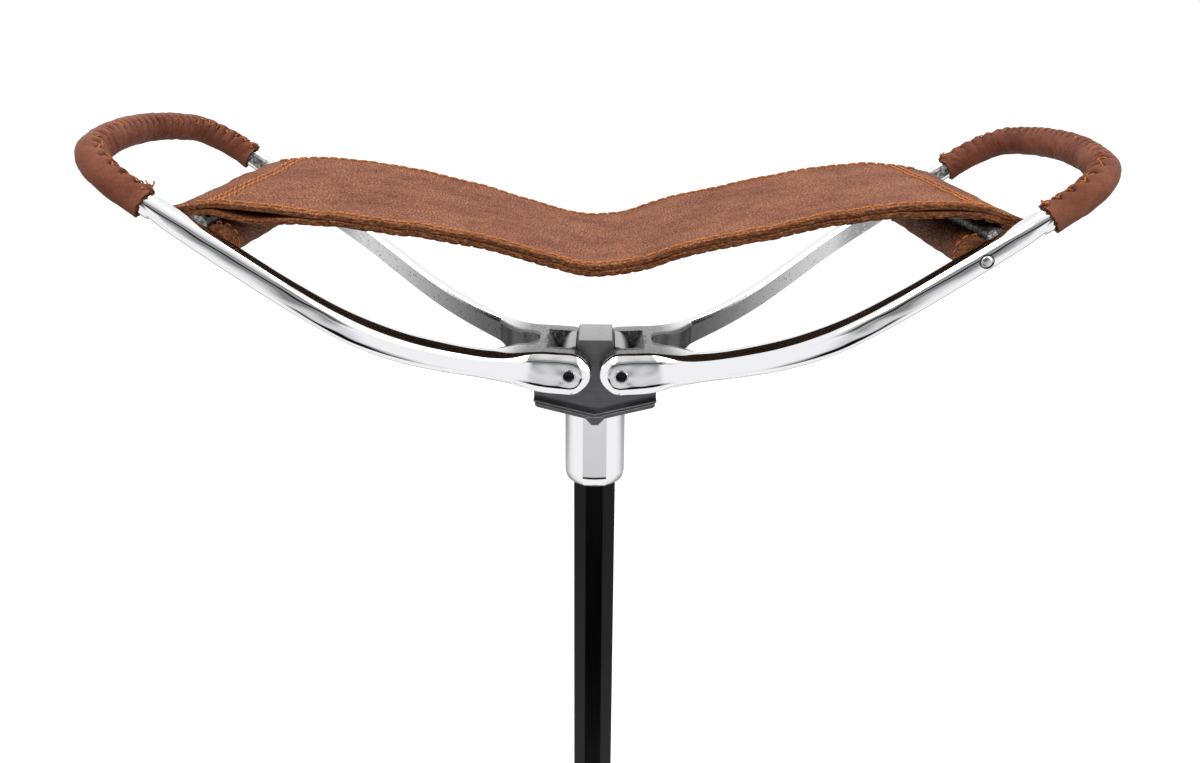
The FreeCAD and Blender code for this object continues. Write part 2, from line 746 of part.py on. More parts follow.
def main():
    os.makedirs("parts", exist_ok=True)
    for name, shape in build_nodes().items():
        shape.translate(vec(0, 0, pin_height))
        shape.exportStep("parts/" + name + ".step")
        print(name, shape.isValid(), len(shape.Solids), round(shape.Volume))


main()
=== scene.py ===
import json
import math

import bmesh
import bpy
import numpy as np
from mathutils import Matrix


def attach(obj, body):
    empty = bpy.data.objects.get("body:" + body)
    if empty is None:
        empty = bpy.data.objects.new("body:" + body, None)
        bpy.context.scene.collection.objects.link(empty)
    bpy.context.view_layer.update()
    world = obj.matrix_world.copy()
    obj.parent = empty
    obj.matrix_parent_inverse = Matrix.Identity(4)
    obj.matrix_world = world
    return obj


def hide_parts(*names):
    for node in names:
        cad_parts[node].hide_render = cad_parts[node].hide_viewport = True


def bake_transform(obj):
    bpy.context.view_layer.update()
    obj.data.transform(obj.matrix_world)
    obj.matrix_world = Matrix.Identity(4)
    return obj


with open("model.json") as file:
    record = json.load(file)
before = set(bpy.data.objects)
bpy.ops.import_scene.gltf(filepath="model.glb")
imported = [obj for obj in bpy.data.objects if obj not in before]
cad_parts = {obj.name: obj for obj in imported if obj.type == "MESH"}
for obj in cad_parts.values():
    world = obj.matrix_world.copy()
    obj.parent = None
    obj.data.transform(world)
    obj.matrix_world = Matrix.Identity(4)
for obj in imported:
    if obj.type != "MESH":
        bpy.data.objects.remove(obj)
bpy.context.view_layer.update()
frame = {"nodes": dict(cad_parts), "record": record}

# Lengths are millimetres. x is to the right and y to the back of the middle plane, z is up from the
# hinge pins.


joints = {joint["name"]: joint for joint in frame["record"]["behaviour"]["joints"]}
pinAt = joints["right_arm_fold"]["pos_m"]
pinX = pinAt[0] * 1000
pinHeight = pinAt[2] * 1000
leftLift = math.radians(1.0)  # the left arm stands a little above its stop
sides = {"right": 1, "left": -1}  # with the sign of x there


# Pin-based millimetres to the frame's metres.
def toFrame(points):
    moved = np.array(points, float)
    moved[..., 2] += pinHeight
    return moved / 1000


# The right side as it is; the left one is mirrored and turned about its own pin by the lift.
def toSide(points, side):
    p = np.array(points, float)
    if side == "right":
        return p
    run = pinX - p[..., 0]
    x = -pinX + run * math.cos(leftLift) + p[..., 2] * math.sin(leftLift)
    z = p[..., 2] * math.cos(leftLift) - run * math.sin(leftLift)
    return np.stack([x, p[..., 1], z], -1)


# Smooth curve through (x, value) knots: cubic pieces whose slopes are those of the knots' neighbours.
def curveAt(x, knots):
    xs, ys = np.array(knots, float).T
    slope = np.gradient(ys, xs)
    k = np.clip(np.searchsorted(xs, x) - 1, 0, len(xs) - 2)
    h = xs[k + 1] - xs[k]
    t = (x - xs[k]) / h
    a = ys[k] * (1 + 2 * t) * (1 - t) ** 2 + slope[k] * h * t * (1 - t) ** 2
    return a + ys[k + 1] * t * t * (3 - 2 * t) + slope[k + 1] * h * t * t * (t - 1)


# From 0 at low to 1 at high, level at both: three times the square less twice the cube.
def smooth(x, low, high):
    t = np.clip((x - low) / (high - low), 0, 1)
    return t * t * (3 - 2 * t)


# Bell curve, 1 in the middle: e to the minus square.
def bell(x):
    return np.exp(-x ** 2)


# Points on the unit circle.
def onCircle(turn):
    return np.stack([np.cos(turn), np.sin(turn)], -1)


# Seeded smooth noise about one size: a sum of sine waves with random directions, pitches and phases.
def waves(u, v, size, seed, count=18):
    r = np.random.default_rng(seed)
    total = np.zeros(np.broadcast(u, v).shape)
    for _ in range(count):
        turn = r.uniform(0, 2 * math.pi)
        pitch = size * r.uniform(0.6, 1.8)
        phase = r.uniform(0, 2 * math.pi)
        total += np.sin(2 * math.pi * (u * math.cos(turn) + v * math.sin(turn)) / pitch + phase)
    return total / math.sqrt(count)


# Distance run along a line of points, from 0.
def runAlong(points):
    return np.concatenate([[0], np.cumsum(np.linalg.norm(np.diff(points, axis=0), axis=1))])


# Closes both ends of a tube of rings with their middles.
def capEnds(points):
    first = np.repeat(points[:1].mean(1, keepdims=True), points.shape[1], 1)
    last = np.repeat(points[-1:].mean(1, keepdims=True), points.shape[1], 1)
    return np.concatenate([first, points, last])


# One mesh from grids of points: quads between neighbours, welded, facing outwards, and smooth up to an
# angle. A grid is a dictionary: points, and as wanted uv, material, masks, keep, caps.
def gridMesh(name, grids, materials, angle):
    verts, faces, uvs, slots, masks = [], [], [], [], {}
    lids, lidSlots = [], []
    start = 0
    maskNames = sorted({key for grid in grids for key in grid.get("masks", {})})
    for grid in grids:
        p = grid["points"]
        rows, cols = p.shape[:2]
        verts.append(toFrame(p).reshape(-1, 3))
        i = np.arange(rows - 1)[:, None] * cols + np.arange(cols - 1)[None, :] + start
        quads = np.stack([i, i + 1, i + cols + 1, i + cols], -1).reshape(-1, 4)
        if "keep" in grid:
            quads = quads[grid["keep"].reshape(-1)]
        faces.append(quads)
        if grid.get("caps"):
            for row in (0, rows - 1):
                lids.append(list(range(start + row * cols, start + row * cols + cols - 1)))
                lidSlots.append(grid.get("material", 0))
        uv = grid.get("uv")
        if uv is None:
            uv = np.stack(np.meshgrid(runAlong(p[rows // 2]), runAlong(p[:, 0])), -1)
        uvs.append(uv.reshape(-1, 2) / 1000)
        slots.append(np.full(len(quads), grid.get("material", 0)))
        for key in maskNames:
            values = grid.get("masks", {}).get(key, 0.0)
            masks.setdefault(key, []).append(np.broadcast_to(values, (rows, cols)).reshape(-1))
        start += rows * cols
    verts, faces, uvs = np.concatenate(verts), np.concatenate(faces), np.concatenate(uvs)
    mesh = bpy.data.meshes.new(name)
    mesh.from_pydata(verts.tolist(), [], faces.tolist() + lids)
    corners = np.concatenate([faces.reshape(-1)] + [np.array(lid) for lid in lids])
    mesh.uv_layers.new(name="UVMap").data.foreach_set("uv", uvs[corners].astype(np.float32).ravel())
    mesh.polygons.foreach_set("material_index", np.concatenate(slots + [lidSlots]).astype(np.int32))
    for key, values in masks.items():
        layer = mesh.attributes.new(key, "FLOAT", "POINT")
        layer.data.foreach_set("value", np.concatenate(values).astype(np.float32))
    for material in materials:
        mesh.materials.append(material)
    bm = bmesh.new()
    bm.from_mesh(mesh)
    bmesh.ops.remove_doubles(bm, verts=bm.verts, dist=2e-6)
    bmesh.ops.dissolve_degenerate(bm, edges=bm.edges, dist=1e-7)
    loose = [v for v in bm.verts if not v.link_faces]
    bmesh.ops.delete(bm, geom=loose, context="VERTS")
    bmesh.ops.recalc_face_normals(bm, faces=bm.faces)
    bm.to_mesh(mesh)
    bm.free()
    mesh.polygons.foreach_set("use_smooth", np.ones(len(mesh.polygons), bool))
    mesh.set_sharp_from_angle(angle=math.radians(angle))
    return mesh


# One object from grids. It rides its body or, when given two places, stays where it is with its transform baked
# in.
def meshPiece(name, grids, materials, body, replaced=(), angle=32, blend=None):
    piece = bpy.data.objects.new(name, gridMesh(name, grids, materials, angle))
    bpy.context.scene.collection.objects.link(piece)
    if blend:
        toFrame(blend[0])
        toFrame(blend[1])
        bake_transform(piece)
    else:
        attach(piece, body)
    if replaced:
        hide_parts(*replaced)


# A piece of one arm: its grids are moved to that side.
def sidePiece(side, name, grids, materials, node=None, angle=40):
    placed = [dict(grid, points=toSide(grid["points"], side)) for grid in grids]
    replaced = [side + "_" + node] if node else []
    meshPiece(side + name, placed, materials, side + "_arm_body", replaced, angle)


# A grid from (radius, z) points turned about the stick's axis.
def revolved(profile, count=72):
    r, z = np.array(profile, float).T[..., None]
    turn = np.linspace(0, 2 * math.pi, count + 1)
    return {"points": np.stack([r * np.cos(turn), r * np.sin(turn), z + 0 * turn], -1)}


# The same for (radius, y) points turned about a line along y.
def turnedAcross(x, z, profile, count):
    r, y = np.array(profile, float).T[..., None]
    turn = np.linspace(0, 2 * math.pi, count + 1)
    return np.stack([x + r * np.cos(turn), y + 0 * turn, z + r * np.sin(turn)], -1)


# An open profile whose inner corners are rounded by quadratic curves of about the given radius.
def roundedProfile(corners, radius, steps=4):
    pts = [np.array(c, float) for c in corners]
    out = [pts[0]]
    for before, corner, after in zip(pts, pts[1:], pts[2:]):
        a, b = (corner + (end - corner) * min(0.45, radius / max(np.linalg.norm(end - corner), 1e-6))
                for end in (before, after))
        for t in np.linspace(0, 1, steps):
            out.append(a * (1 - t) ** 2 + 2 * corner * t * (1 - t) + b * t * t)
    out.append(pts[-1])
    return np.array(out)


# Outlines in x and z, each at its own y.
def outlinesAlong(pairs):
    return np.stack([np.insert(np.asarray(ring, float), 1, y, axis=1) for ring, y in pairs])


# A flat outline in x and z, carried along y, with its rims drawn in by the bevel. Each corner moves along
# the sum of its two sides' inward directions, over one plus the cosine between them.
def prism(outline, low, high, bevel, material=0):
    p = np.array(outline, float)
    before, after = np.roll(p, 1, 0), np.roll(p, -1, 0)
    turnIn = []
    for side in (p - before, after - p):
        length = np.maximum(np.linalg.norm(side, axis=1, keepdims=True), 1e-9)
        turnIn.append(np.stack([-side[:, 1], side[:, 0]], -1) / length)
    area = np.sum(p[:, 0] * after[:, 1] - after[:, 0] * p[:, 1])
    inward = (turnIn[0] + turnIn[1]) * (1 if area > 0 else -1)
    inward /= np.maximum((turnIn[0] * turnIn[1]).sum(1, keepdims=True) + 1, 0.4)
    drawn = p + inward * bevel
    grid = outlinesAlong([(drawn, low), (p, low + bevel), (p, high - bevel), (drawn, high)])
    return {"points": np.concatenate([grid, grid[:, :1]], 1), "caps": True, "material": material}


print("stage: materials")


# sRGB hex to linear: over 12.92 in the darkest tones, a power of 2.4 above them.
def colour(code):
    values = [int(code[i:i + 2], 16) / 255 for i in (1, 3, 5)]
    linear = [v / 12.92 if v <= 0.04045 else ((v + 0.055) / 1.055) ** 2.4 for v in values]
    return (*linear, 1.0)


# Texture scale for a feature of that many millimetres, on coordinates in metres: 1000 over the size.
def perMm(size):
    return 1000 / size


# An input takes a value or another node's output.
def setInputs(tree, node, values):
    for key, value in values.items():
        if isinstance(value, bpy.types.NodeSocket):
            tree.links.new(value, node.inputs[key])
        else:
            node.inputs[key].default_value = value


# Adds a node, sets its properties, inputs and colour stops, and gives one of its outputs.
def addNode(tree, kind, inputs=None, out=0, stops=(), **settings):
    node = tree.nodes.new("ShaderNode" + kind)
    for key, value in settings.items():
        setattr(node, key, value)
    setInputs(tree, node, inputs or {})
    if stops:
        band = node.color_ramp.elements
        while len(band) < len(stops):
            band.new(0.5)
        for element, (position, code) in zip(band, stops):
            element.position = position
            element.color = colour(code)
    return node.outputs[out] if node.outputs else node


# A new material with its tree, its shader and the piece's own coordinates.
def startMaterial(name):
    material = bpy.data.materials.new(name)
    material.use_nodes = True
    tree = material.node_tree
    return material, tree, tree.nodes["Principled BSDF"], addNode(tree, "TexCoord", out="Object")


# One grey is painted shade: the dark tone of the opening's inner walls near the yoke.
metal = {
    "polished": "#F0F0F2", "linished": "#9C9C9C", "cast": "#6E6E6E", "openingShadeTone": "#5C5C5C",
    "headFront": "#7B7B7D", "headLitTop": "#C4C4C4", "steel": "#CFCFD2", "waveSize": 26.0, "scratchSize": 0.35,
    "pitSize": 1.6, "blotchSize": 5.0, "brushSize": 0.6, "topBrushSize": 0.5, "steelBrushSize": 0.4,
    "drawnSize": 0.8}


def polishedAluminium():
    # Cast aluminium, buffed: mirror bright with slow waves and fine drag marks. By mask it is rough as
    # cast, linished on a belt, or painted darker grey in the opening's narrow end as shade and a dark
    # reflection there.
    material, tree, shader, place = startMaterial("polished_aluminium")
    cast, linished, openingShade = (addNode(tree, "Attribute", out="Fac", attribute_name=mask)
                            for mask in ("castMask", "linishMask", "dullMask"))
    wave = addNode(tree, "TexNoise", {"Vector": place, "Scale": perMm(metal["waveSize"]), "Detail": 1.0})
    streaks = addNode(tree, "Mapping", {"Vector": place, "Scale": (0.04, 1.0, 1.0)})
    drag = addNode(tree, "TexNoise", {"Vector": streaks, "Scale": perMm(metal["scratchSize"]), "Detail": 2.0})
    pits = addNode(tree, "TexNoise", {"Vector": place, "Scale": perMm(metal["pitSize"]), "Detail": 6.0,
                                      "Roughness": 0.7})
    mottled = addNode(tree, "ValToRGB", {"Fac": pits},
                      stops=[(0.30, "#303030"), (0.48, metal["cast"]), (0.68, "#D8D8D8")])
    satin = addNode(tree, "ValToRGB", {"Fac": pits},
                    stops=[(0.34, "#727272"), (0.5, metal["linished"]), (0.8, "#C0C0C0")])
    shade = colour(metal["polished"])
    for mask, layer in ((linished, satin), (cast, mottled), (openingShade, colour(metal["openingShadeTone"]))):
        shade = addNode(tree, "Mix", {"Factor": mask, 6: shade, 7: layer}, 2, data_type="RGBA")
    rough = addNode(tree, "MapRange", {"Value": drag, "To Min": 0.03, "To Max": 0.08})
    for mask, level in ((linished, 0.36), (cast, 0.42)):
        rough = addNode(tree, "Mix", {"Factor": mask, "A": rough, "B": level})
    pitted = addNode(tree, "MapRange", {"Value": pits, "From Min": 0.60, "From Max": 0.70})
    worn = addNode(tree, "Math", {0: cast, 1: linished}, operation="MAXIMUM")
    depth = addNode(tree, "Math", {0: pitted, 1: worn}, operation="MULTIPLY")
    lumps = addNode(tree, "Math", {0: pits, 1: cast}, operation="MULTIPLY")
    relief = addNode(tree, "Bump", {"Height": wave, "Strength": 0.25, "Distance": 0.0010})
    relief = addNode(tree, "Bump", {"Height": depth, "Distance": 0.0003, "Normal": relief}, invert=True)
    relief = addNode(tree, "Bump", {"Height": lumps, "Distance": 0.0006, "Normal": relief})
    setInputs(tree, shader, {"Base Color": shade, "Metallic": 1.0, "Roughness": rough, "Normal": relief})
    return material


def brushedMetal(name, code, across, rough, brushSize):
    # Aluminium or steel drawn over a belt: satin, with fine parallel lines and faint blotches
    material, tree, shader, place = startMaterial(name)
    lines = addNode(tree, "Mapping", {"Vector": place, "Scale": across})
    brush = addNode(tree, "TexNoise", {"Vector": lines, "Scale": perMm(brushSize), "Detail": 3.0,
                                       "Roughness": 0.6})
    blotch = addNode(tree, "TexNoise", {"Vector": place, "Scale": perMm(metal["blotchSize"]), "Detail": 3.0})
    tone = addNode(tree, "Mix", {"Factor": 0.35, "A": brush, "B": blotch})
    level = addNode(tree, "MapRange", {"Value": tone, "From Min": 0.3, "From Max": 0.7, "To Min": 0.80,
                                       "To Max": 1.12})
    satin = addNode(tree, "MapRange", {"Value": brush, "To Min": rough - 0.06, "To Max": rough + 0.10})
    setInputs(tree, shader, {
        "Base Color": addNode(tree, "VectorMath", {0: colour(code)[:3], "Scale": level}, operation="SCALE"),
        "Metallic": 1.0, "Roughness": satin,
        "Normal": addNode(tree, "Bump", {"Height": brush, "Distance": 0.00006})})
    return material


def blackAnodised():
    # Drawn aluminium tube, anodised black: deep black satin with faint drawing lines along it
    material, tree, shader, place = startMaterial("black_anodised_aluminium")
    lines = addNode(tree, "Mapping", {"Vector": place, "Scale": (1.0, 1.0, 0.02)})
    drawn = addNode(tree, "TexNoise", {"Vector": lines, "Scale": perMm(metal["drawnSize"]), "Detail": 3.0})
    setInputs(tree, shader, {
        "Base Color": addNode(tree, "ValToRGB", {"Fac": drawn}, stops=[(0.3, "#010101"), (0.7, "#040404")]),
        "Specular IOR Level": 0.10,
        "Roughness": addNode(tree, "MapRange", {"Value": drawn, "To Min": 0.20, "To Max": 0.32}),
        "Normal": addNode(tree, "Bump", {"Height": drawn, "Distance": 0.00003})})
    return material


def mottledMaterial(name, size, detail, stops, rough, depth=0.0, grit=None):
    # One mottled colour, with a relief of the mottle itself or of a finer grit
    material, tree, shader, place = startMaterial(name)
    mottle = addNode(tree, "TexNoise", {"Vector": place, "Scale": perMm(size), "Detail": detail})
    setInputs(tree, shader, {"Base Color": addNode(tree, "ValToRGB", {"Fac": mottle}, stops=stops),
                             "Roughness": rough})
    if grit:
        mottle = addNode(tree, "TexNoise", {"Vector": place, "Scale": perMm(grit), "Detail": 2.0})
    if depth:
        setInputs(tree, shader, {"Normal": addNode(tree, "Bump", {"Height": mottle, "Distance": depth})})
    return material


leather = {
    "sling": ("#864A32", "#9E6042", "#AE7252"), "grip": ("#65382A", "#7C4A38", "#905D4A"),
    "fleshShade": ("#3A2A20", "#4C382B", "#5E4838"), "raw": ("#2A170D", "#744529", "#B97A40"), "pebbleSize": 1.5,
    "gripGrain": 0.8, "fleshGrain": 0.9, "poreSize": 0.5, "fibreSize": 0.7, "blotchSize": 22.0}


def grainLeather(name, tones, pebbleSize, depth, rough, valleyShade, gloss):
    # Pigmented leather: pebbled cells with darker valleys, slow colour changes and a low waxy gloss;
    # painted shade, darker where the crease mask says
    material, tree, shader, place = startMaterial(name)
    wander = addNode(tree, "TexNoise", {"Vector": place, "Scale": perMm(pebbleSize * 2), "Detail": 2.0},
                     "Color")
    bent = addNode(tree, "VectorMath", {0: wander, 1: (0.5, 0.5, 0.5)}, operation="SUBTRACT")
    shifted = addNode(tree, "VectorMath", {0: bent, 1: (pebbleSize * 8e-4,) * 3, 2: place},
                      operation="MULTIPLY_ADD")
    cells = addNode(tree, "TexVoronoi", {"Vector": shifted, "Scale": perMm(pebbleSize)}, "Distance",
                    feature="DISTANCE_TO_EDGE")
    valley = addNode(tree, "MapRange", {"Value": cells, "From Max": 0.22}, interpolation_type="SMOOTHSTEP")
    pores = addNode(tree, "TexNoise", {"Vector": place, "Scale": perMm(leather["poreSize"]), "Detail": 3.0})
    blotch = addNode(tree, "TexNoise", {"Vector": place, "Scale": perMm(leather["blotchSize"]), "Detail": 5.0,
                                        "Roughness": 0.6})
    tone = addNode(tree, "ValToRGB", {"Fac": blotch}, stops=list(zip((0.30, 0.5, 0.72), tones)))
    creaseShade = addNode(tree, "Attribute", out="Fac", attribute_name="creaseMask")
    valleyTone = addNode(tree, "MapRange", {"Value": valley, "To Min": valleyShade, "To Max": 1.06})
    # Painted shade: the crease mask darkens the colour in holes and folds
    creaseShadeTone = addNode(tree, "MapRange", {"Value": creaseShade, "To Min": 1.0, "To Max": 0.12})
    level = addNode(tree, "Math", {0: valleyTone, 1: creaseShadeTone}, operation="MULTIPLY")
    relief = addNode(tree, "Bump", {"Height": valley, "Distance": depth})
    relief = addNode(tree, "Bump", {"Height": pores, "Distance": depth * 0.35, "Normal": relief})
    setInputs(tree, shader, {
        "Base Color": addNode(tree, "VectorMath", {0: tone, "Scale": level}, operation="SCALE"),
        "Roughness": addNode(tree, "MapRange", {"Value": valley, "To Min": rough + 0.16, "To Max": rough}),
        "Specular IOR Level": gloss, "Normal": relief})
    return material


def rawLeather():
    # Cut edge: open brown fibres, dark gaps and golden ends, no gloss
    material, tree, shader, place = startMaterial("raw_leather_edge")
    stretch = addNode(tree, "Mapping", {"Vector": place, "Scale": (0.35, 1.0, 1.0)})
    fibre = addNode(tree, "TexNoise", {"Vector": stretch, "Scale": perMm(leather["fibreSize"]), "Detail": 6.0,
                                       "Roughness": 0.75})
    tone = addNode(tree, "ValToRGB", {"Fac": fibre}, stops=list(zip((0.36, 0.52, 0.70), leather["raw"])))
    setInputs(tree, shader, {
        "Base Color": tone, "Roughness": 0.92, "Specular IOR Level": 0.2,
        "Normal": addNode(tree, "Bump", {"Height": fibre, "Distance": 0.0007})})
    return material


polished = polishedAluminium()
headFront = brushedMetal("brushed_dark_aluminium", metal["headFront"], (0.05, 1.0, 1.0), 0.34,
                         metal["brushSize"])
# The head's top and knuckles: linished, their lighter grey partly painted light from above
headLitTop = brushedMetal("linished_aluminium_painted_light", metal["headLitTop"], (1.0, 0.1, 1.0), 0.34, metal["topBrushSize"])
steel = brushedMetal("bright_steel", metal["steel"], (1.0, 1.0, 0.1), 0.2, metal["steelBrushSize"])
anodised = blackAnodised()
# Moulded rubber: dull, with a fine grey bloom
rubber = mottledMaterial("moulded_rubber", 4.0, 5.0, [(0.35, "#121212"), (0.75, "#262626")], 0.78, 0.00008, 0.4)
slingLeather = grainLeather("pebbled_leather", leather["sling"], leather["pebbleSize"], 0.00042, 0.56, 0.46,
                            0.16)
gripLeather = grainLeather("glove_leather", leather["grip"], leather["gripGrain"], 0.00005, 0.42, 0.86, 0.07)
# The bottom ply's lower face: flesh side, its brown painted dark as the shade under the sling that the rails
# reflect
fleshSideShaded = grainLeather("flesh_side_leather_painted_shade", leather["fleshShade"], leather["fleshGrain"], 0.0002, 0.7, 0.6, 0.1)
rawEdge = rawLeather()
# Twisted linen thread, waxed: orange brown with dark twist lines
thread = mottledMaterial("waxed_thread", 0.6, 4.0, [(0.34, "#7A3D0C"), (0.55, "#B8681A"), (0.75, "#D98F35")],
                         0.6, 0.0002)
# Painted shade: a dark fill for the shade deep in the pins' bores and the rods' countersinks
boreShade = mottledMaterial("painted_bore_shade", 2.0, 3.0, [(0.3, "#020202"), (0.7, "#0D0C0B")], 0.5)

print("stage: arms")
arm = {
    "halfDepth": 25.4, "windowHalf": 13.9, "lobeRadius": 10.3, "pinHole": 3.22, "holeEnd": 22.0,
    "windowEnd": 23.3, "earEnd": 25.3, "openingStart": 26.9, "openingRadius": 9.0, "railWidth": 11.2,
    "slope": 34.3, "gripHalf": 66.8, "railEnd": 184.5, "barX": 162.7, "barRise": 2.0,
    "roundDepth": 3.3, "edgePower": 2.7, "ridge": 0.045, "tipRidge": 0.15, "innerDrop": 2.15,
    "outerDrop": 1.2, "crest": 0.40, "earWave": 0.055, "swell": 0.10, "endShrink": 0.86,
    "bevelFades": (24, 62), "earFades": (30, 46), "lobeRows": 16, "innerColumns": 7, "flatColumns": 5,
    "outerColumns": 19, "railStart": 40, "earWider": 0.15, "widerFades": (25, 40), "tipFades": (2.5, 9.0),
    "ridgeFades": (26, 50), "slopeFades": (28, 48), "swellFades": (20, 60), "shrinkFades": (171, 180),
    "slideEnd": 34.0, "windowDark": 24.0, "wallFades": (60, 140), "castFades": (152, 168), "openingShadeStart": 27,
    "openingShadeFades": (45, 125),
    "crossbar": (4.2, 61.5, 2.8, 0.035, 5),  # half height, reach, section's power, lumps, seed
    "yoke": [(-20.0, 0), (pinX, 0), (20.0, 0), (25.3, 0.05), (31.5, 1.05), (37.6, 3.4), (43.8, 6.5)],
    "bevel": [(0.0, 3.3), (0.05, 2.7), (0.2, 2.2), (0.45, 1.9), (0.9, 1.6), (1.5, 1.24), (2.1, 0.89),
              (2.6, 0.61), (3.0, 0.4), (3.4, 0.23), (3.8, 0.11), (4.2, 0.04), (4.7, 0.0)],
    "top": [(pinX, 10.3), (22.0, 10.75), (34.0, 11.0), (50.0, 13.6), (68.0, 19.7), (85.0, 27.2),
            (104.0, 38.2), (124.0, 51.6), (150.0, 69.0), (184.5, 92.0)],
    "bottom": [(pinX, -10.3), (28.0, -8.6), (38.0, -4.6), (50.0, 0.1), (68.0, 6.4), (85.0, 13.6),
               (104.0, 24.4), (124.0, 38.3), (150.0, 56.3), (184.5, 81.4)],
    "inset": [(50.0, 37.4), (66.0, 28.6), (85.0, 17.8), (104.0, 8.2), (124.0, 2.6), (148.0, 1.2),
              (184.5, 0.0)]}
outerStart = arm["innerColumns"] + arm["flatColumns"]  # first column of the outer face


# Height of the rails' middle line, level before the pin.
def railMiddle(x):
    x = np.maximum(x, pinX)
    return (curveAt(x, arm["top"]) + curveAt(x, arm["bottom"])) / 2


# Stations along one half of an arm: outer and inner outline in plan, from the round ear to the rail's end.
# The rail's outlines lie half its width square to its middle line; the ear and the yoke are straight.
def railPlan():
    mid = (arm["halfDepth"] + arm["windowHalf"]) / 2
    centre = [(x, mid + outwards) for x, outwards in arm["yoke"]]
    centre += [(x, arm["gripHalf"] - inset) for x, inset in arm["inset"]]
    windowRows, bridgeRows, tipRows, backRows, yokeRows, railRows = 10, 5, 7, 8, 11, 100
    windowEnd, opening, radius = arm["windowEnd"], arm["openingStart"], arm["openingRadius"]
    x = np.concatenate([np.linspace(pinX, windowEnd, windowRows), [windowEnd],
                        np.linspace(windowEnd + 0.6, opening, bridgeRows - 1),
                        np.linspace(opening + 1.2, arm["railStart"] - 2, yokeRows),
                        np.linspace(arm["railStart"], arm["railEnd"], railRows)])
    y = curveAt(x, centre)
    slope = curveAt(x + 0.5, centre) - curveAt(x - 0.5, centre)
    across = np.stack([-slope, np.ones_like(slope)], -1) / np.sqrt(1 + slope ** 2)[:, None]
    half = arm["railWidth"] / 2 + arm["earWider"] * (1 - smooth(x, *arm["widerFades"]))
    mids = np.stack([x, y], -1)
    outer, inner = mids + across * half[:, None], mids - across * half[:, None]
    ear = x < arm["earEnd"]
    outer[ear] = np.stack([x[ear], np.full(ear.sum(), arm["halfDepth"])], -1)
    inner[:windowRows] = np.stack([x[:windowRows], np.full(windowRows, arm["windowHalf"])], -1)
    first = windowRows + bridgeRows
    last = first + tipRows
    inner[windowRows:first] = np.stack([x[windowRows:first], np.zeros(bridgeRows)], -1)
    # The opening's round end, then a curve back to the rail's inner line
    turn = np.linspace(0, math.pi / 2, tipRows + 1)[1:]
    inner[first:last] = onCircle(turn) * [-radius, radius] + [opening + radius, 0]
    start, goal = inner[last - 1], inner[last + backRows]
    bend = start + np.array([6.0, 1.0])
    t = np.linspace(0, 1, backRows + 2)[1:-1, None]
    inner[last:last + backRows] = start * (1 - t) ** 2 + 2 * bend * t * (1 - t) + goal * t ** 2
    return outer, inner


# Section of the outer face at each station: share of the half height below the edge, and share of the
# rounding's depth. Rails have a quarter of a superellipse; ears have the bevel's table, then a plain face.
def outerSection(stations):
    theta = np.linspace(0, math.pi / 2, arm["outerColumns"])[None]
    bevel = np.array(arm["bevel"]).T
    wide = bevel[0][-1]
    rest = arm["outerColumns"] - len(bevel[0])
    height = curveAt(stations, arm["top"]) - arm["pinHole"] * (1 - smooth(stations, pinX, arm["holeEnd"]))
    inside = wide + (height - wide) * np.linspace(0, 1, rest + 1)[None, 1:]
    table = np.broadcast_to(bevel[0], (len(stations), len(bevel[0])))
    bevelDrop = np.concatenate([table, inside], 1) / height
    bevelAcross = np.concatenate([1 - bevel[1] / arm["roundDepth"], np.ones(rest)])[None]
    rail = smooth(stations, *arm["bevelFades"])
    power = 2 / arm["edgePower"]
    return (bevelDrop * (1 - rail) + (1 - np.cos(theta) ** power) * rail,
            bevelAcross * (1 - rail) + np.sin(theta) ** power * rail)


# The ear's outer face as a depth over x and z: the bevel's table by the distance from the edge, which goes
# over into the rail's rounding, with slow waves of hand polishing.
def earFace(points, edge, outer):
    x, z = points[..., 0], points[..., 2]
    n = arm["edgePower"]
    halfHigh = np.abs(curveAt(np.maximum(x, pinX), edge) - railMiddle(x))
    fromLobe = arm["lobeRadius"] - np.hypot(x - pinX, z)
    fromEdge = np.maximum(np.where(x < pinX, fromLobe, halfHigh - np.abs(z - railMiddle(x))), 0)
    bevelled = np.interp(fromEdge, *np.array(arm["bevel"]).T)
    rounded = arm["roundDepth"] * (1 - (1 - np.clip(1 - fromEdge / halfHigh, 0, 1) ** n) ** (1 / n))
    rail = smooth(x, *arm["bevelFades"])
    face = np.interp(x, outer[:, 0], outer[:, 1]) - bevelled * (1 - rail) - rounded * rail
    face += arm["earWave"] * waves(x, z * 1.7, 13.0, 31) * np.clip(fromEdge / 1.5, 0, 1)
    ear = 1 - smooth(x, *arm["earFades"])
    return points[..., 1] * (1 - ear) + face * ear


# Where the arm is rough as cast, linished, or painted darker as shade in the opening, by column and by x.
def armMasks(x, rise):
    inside, top = np.zeros(x.shape), np.zeros(x.shape)
    inside[:, :arm["innerColumns"] + 1] = 1
    top[:, arm["innerColumns"] - 1:outerStart + 1] = 1 if rise > 0 else 0.4
    window = inside * (x < arm["windowDark"]) * 0.9
    walls = inside * (0.6 - 0.25 * smooth(x, *arm["wallFades"]))
    return {"castMask": np.maximum(inside * smooth(x, *arm["castFades"]), window),
            "linishMask": np.maximum(top * (1 - smooth(x, *arm["earFades"])), walls),
            # Painted shade: the opening's inner walls darker grey at its narrow end, fading outwards
            "dullMask": inside * (x > arm["openingShadeStart"]) * (1 - smooth(x, *arm["openingShadeFades"]))}


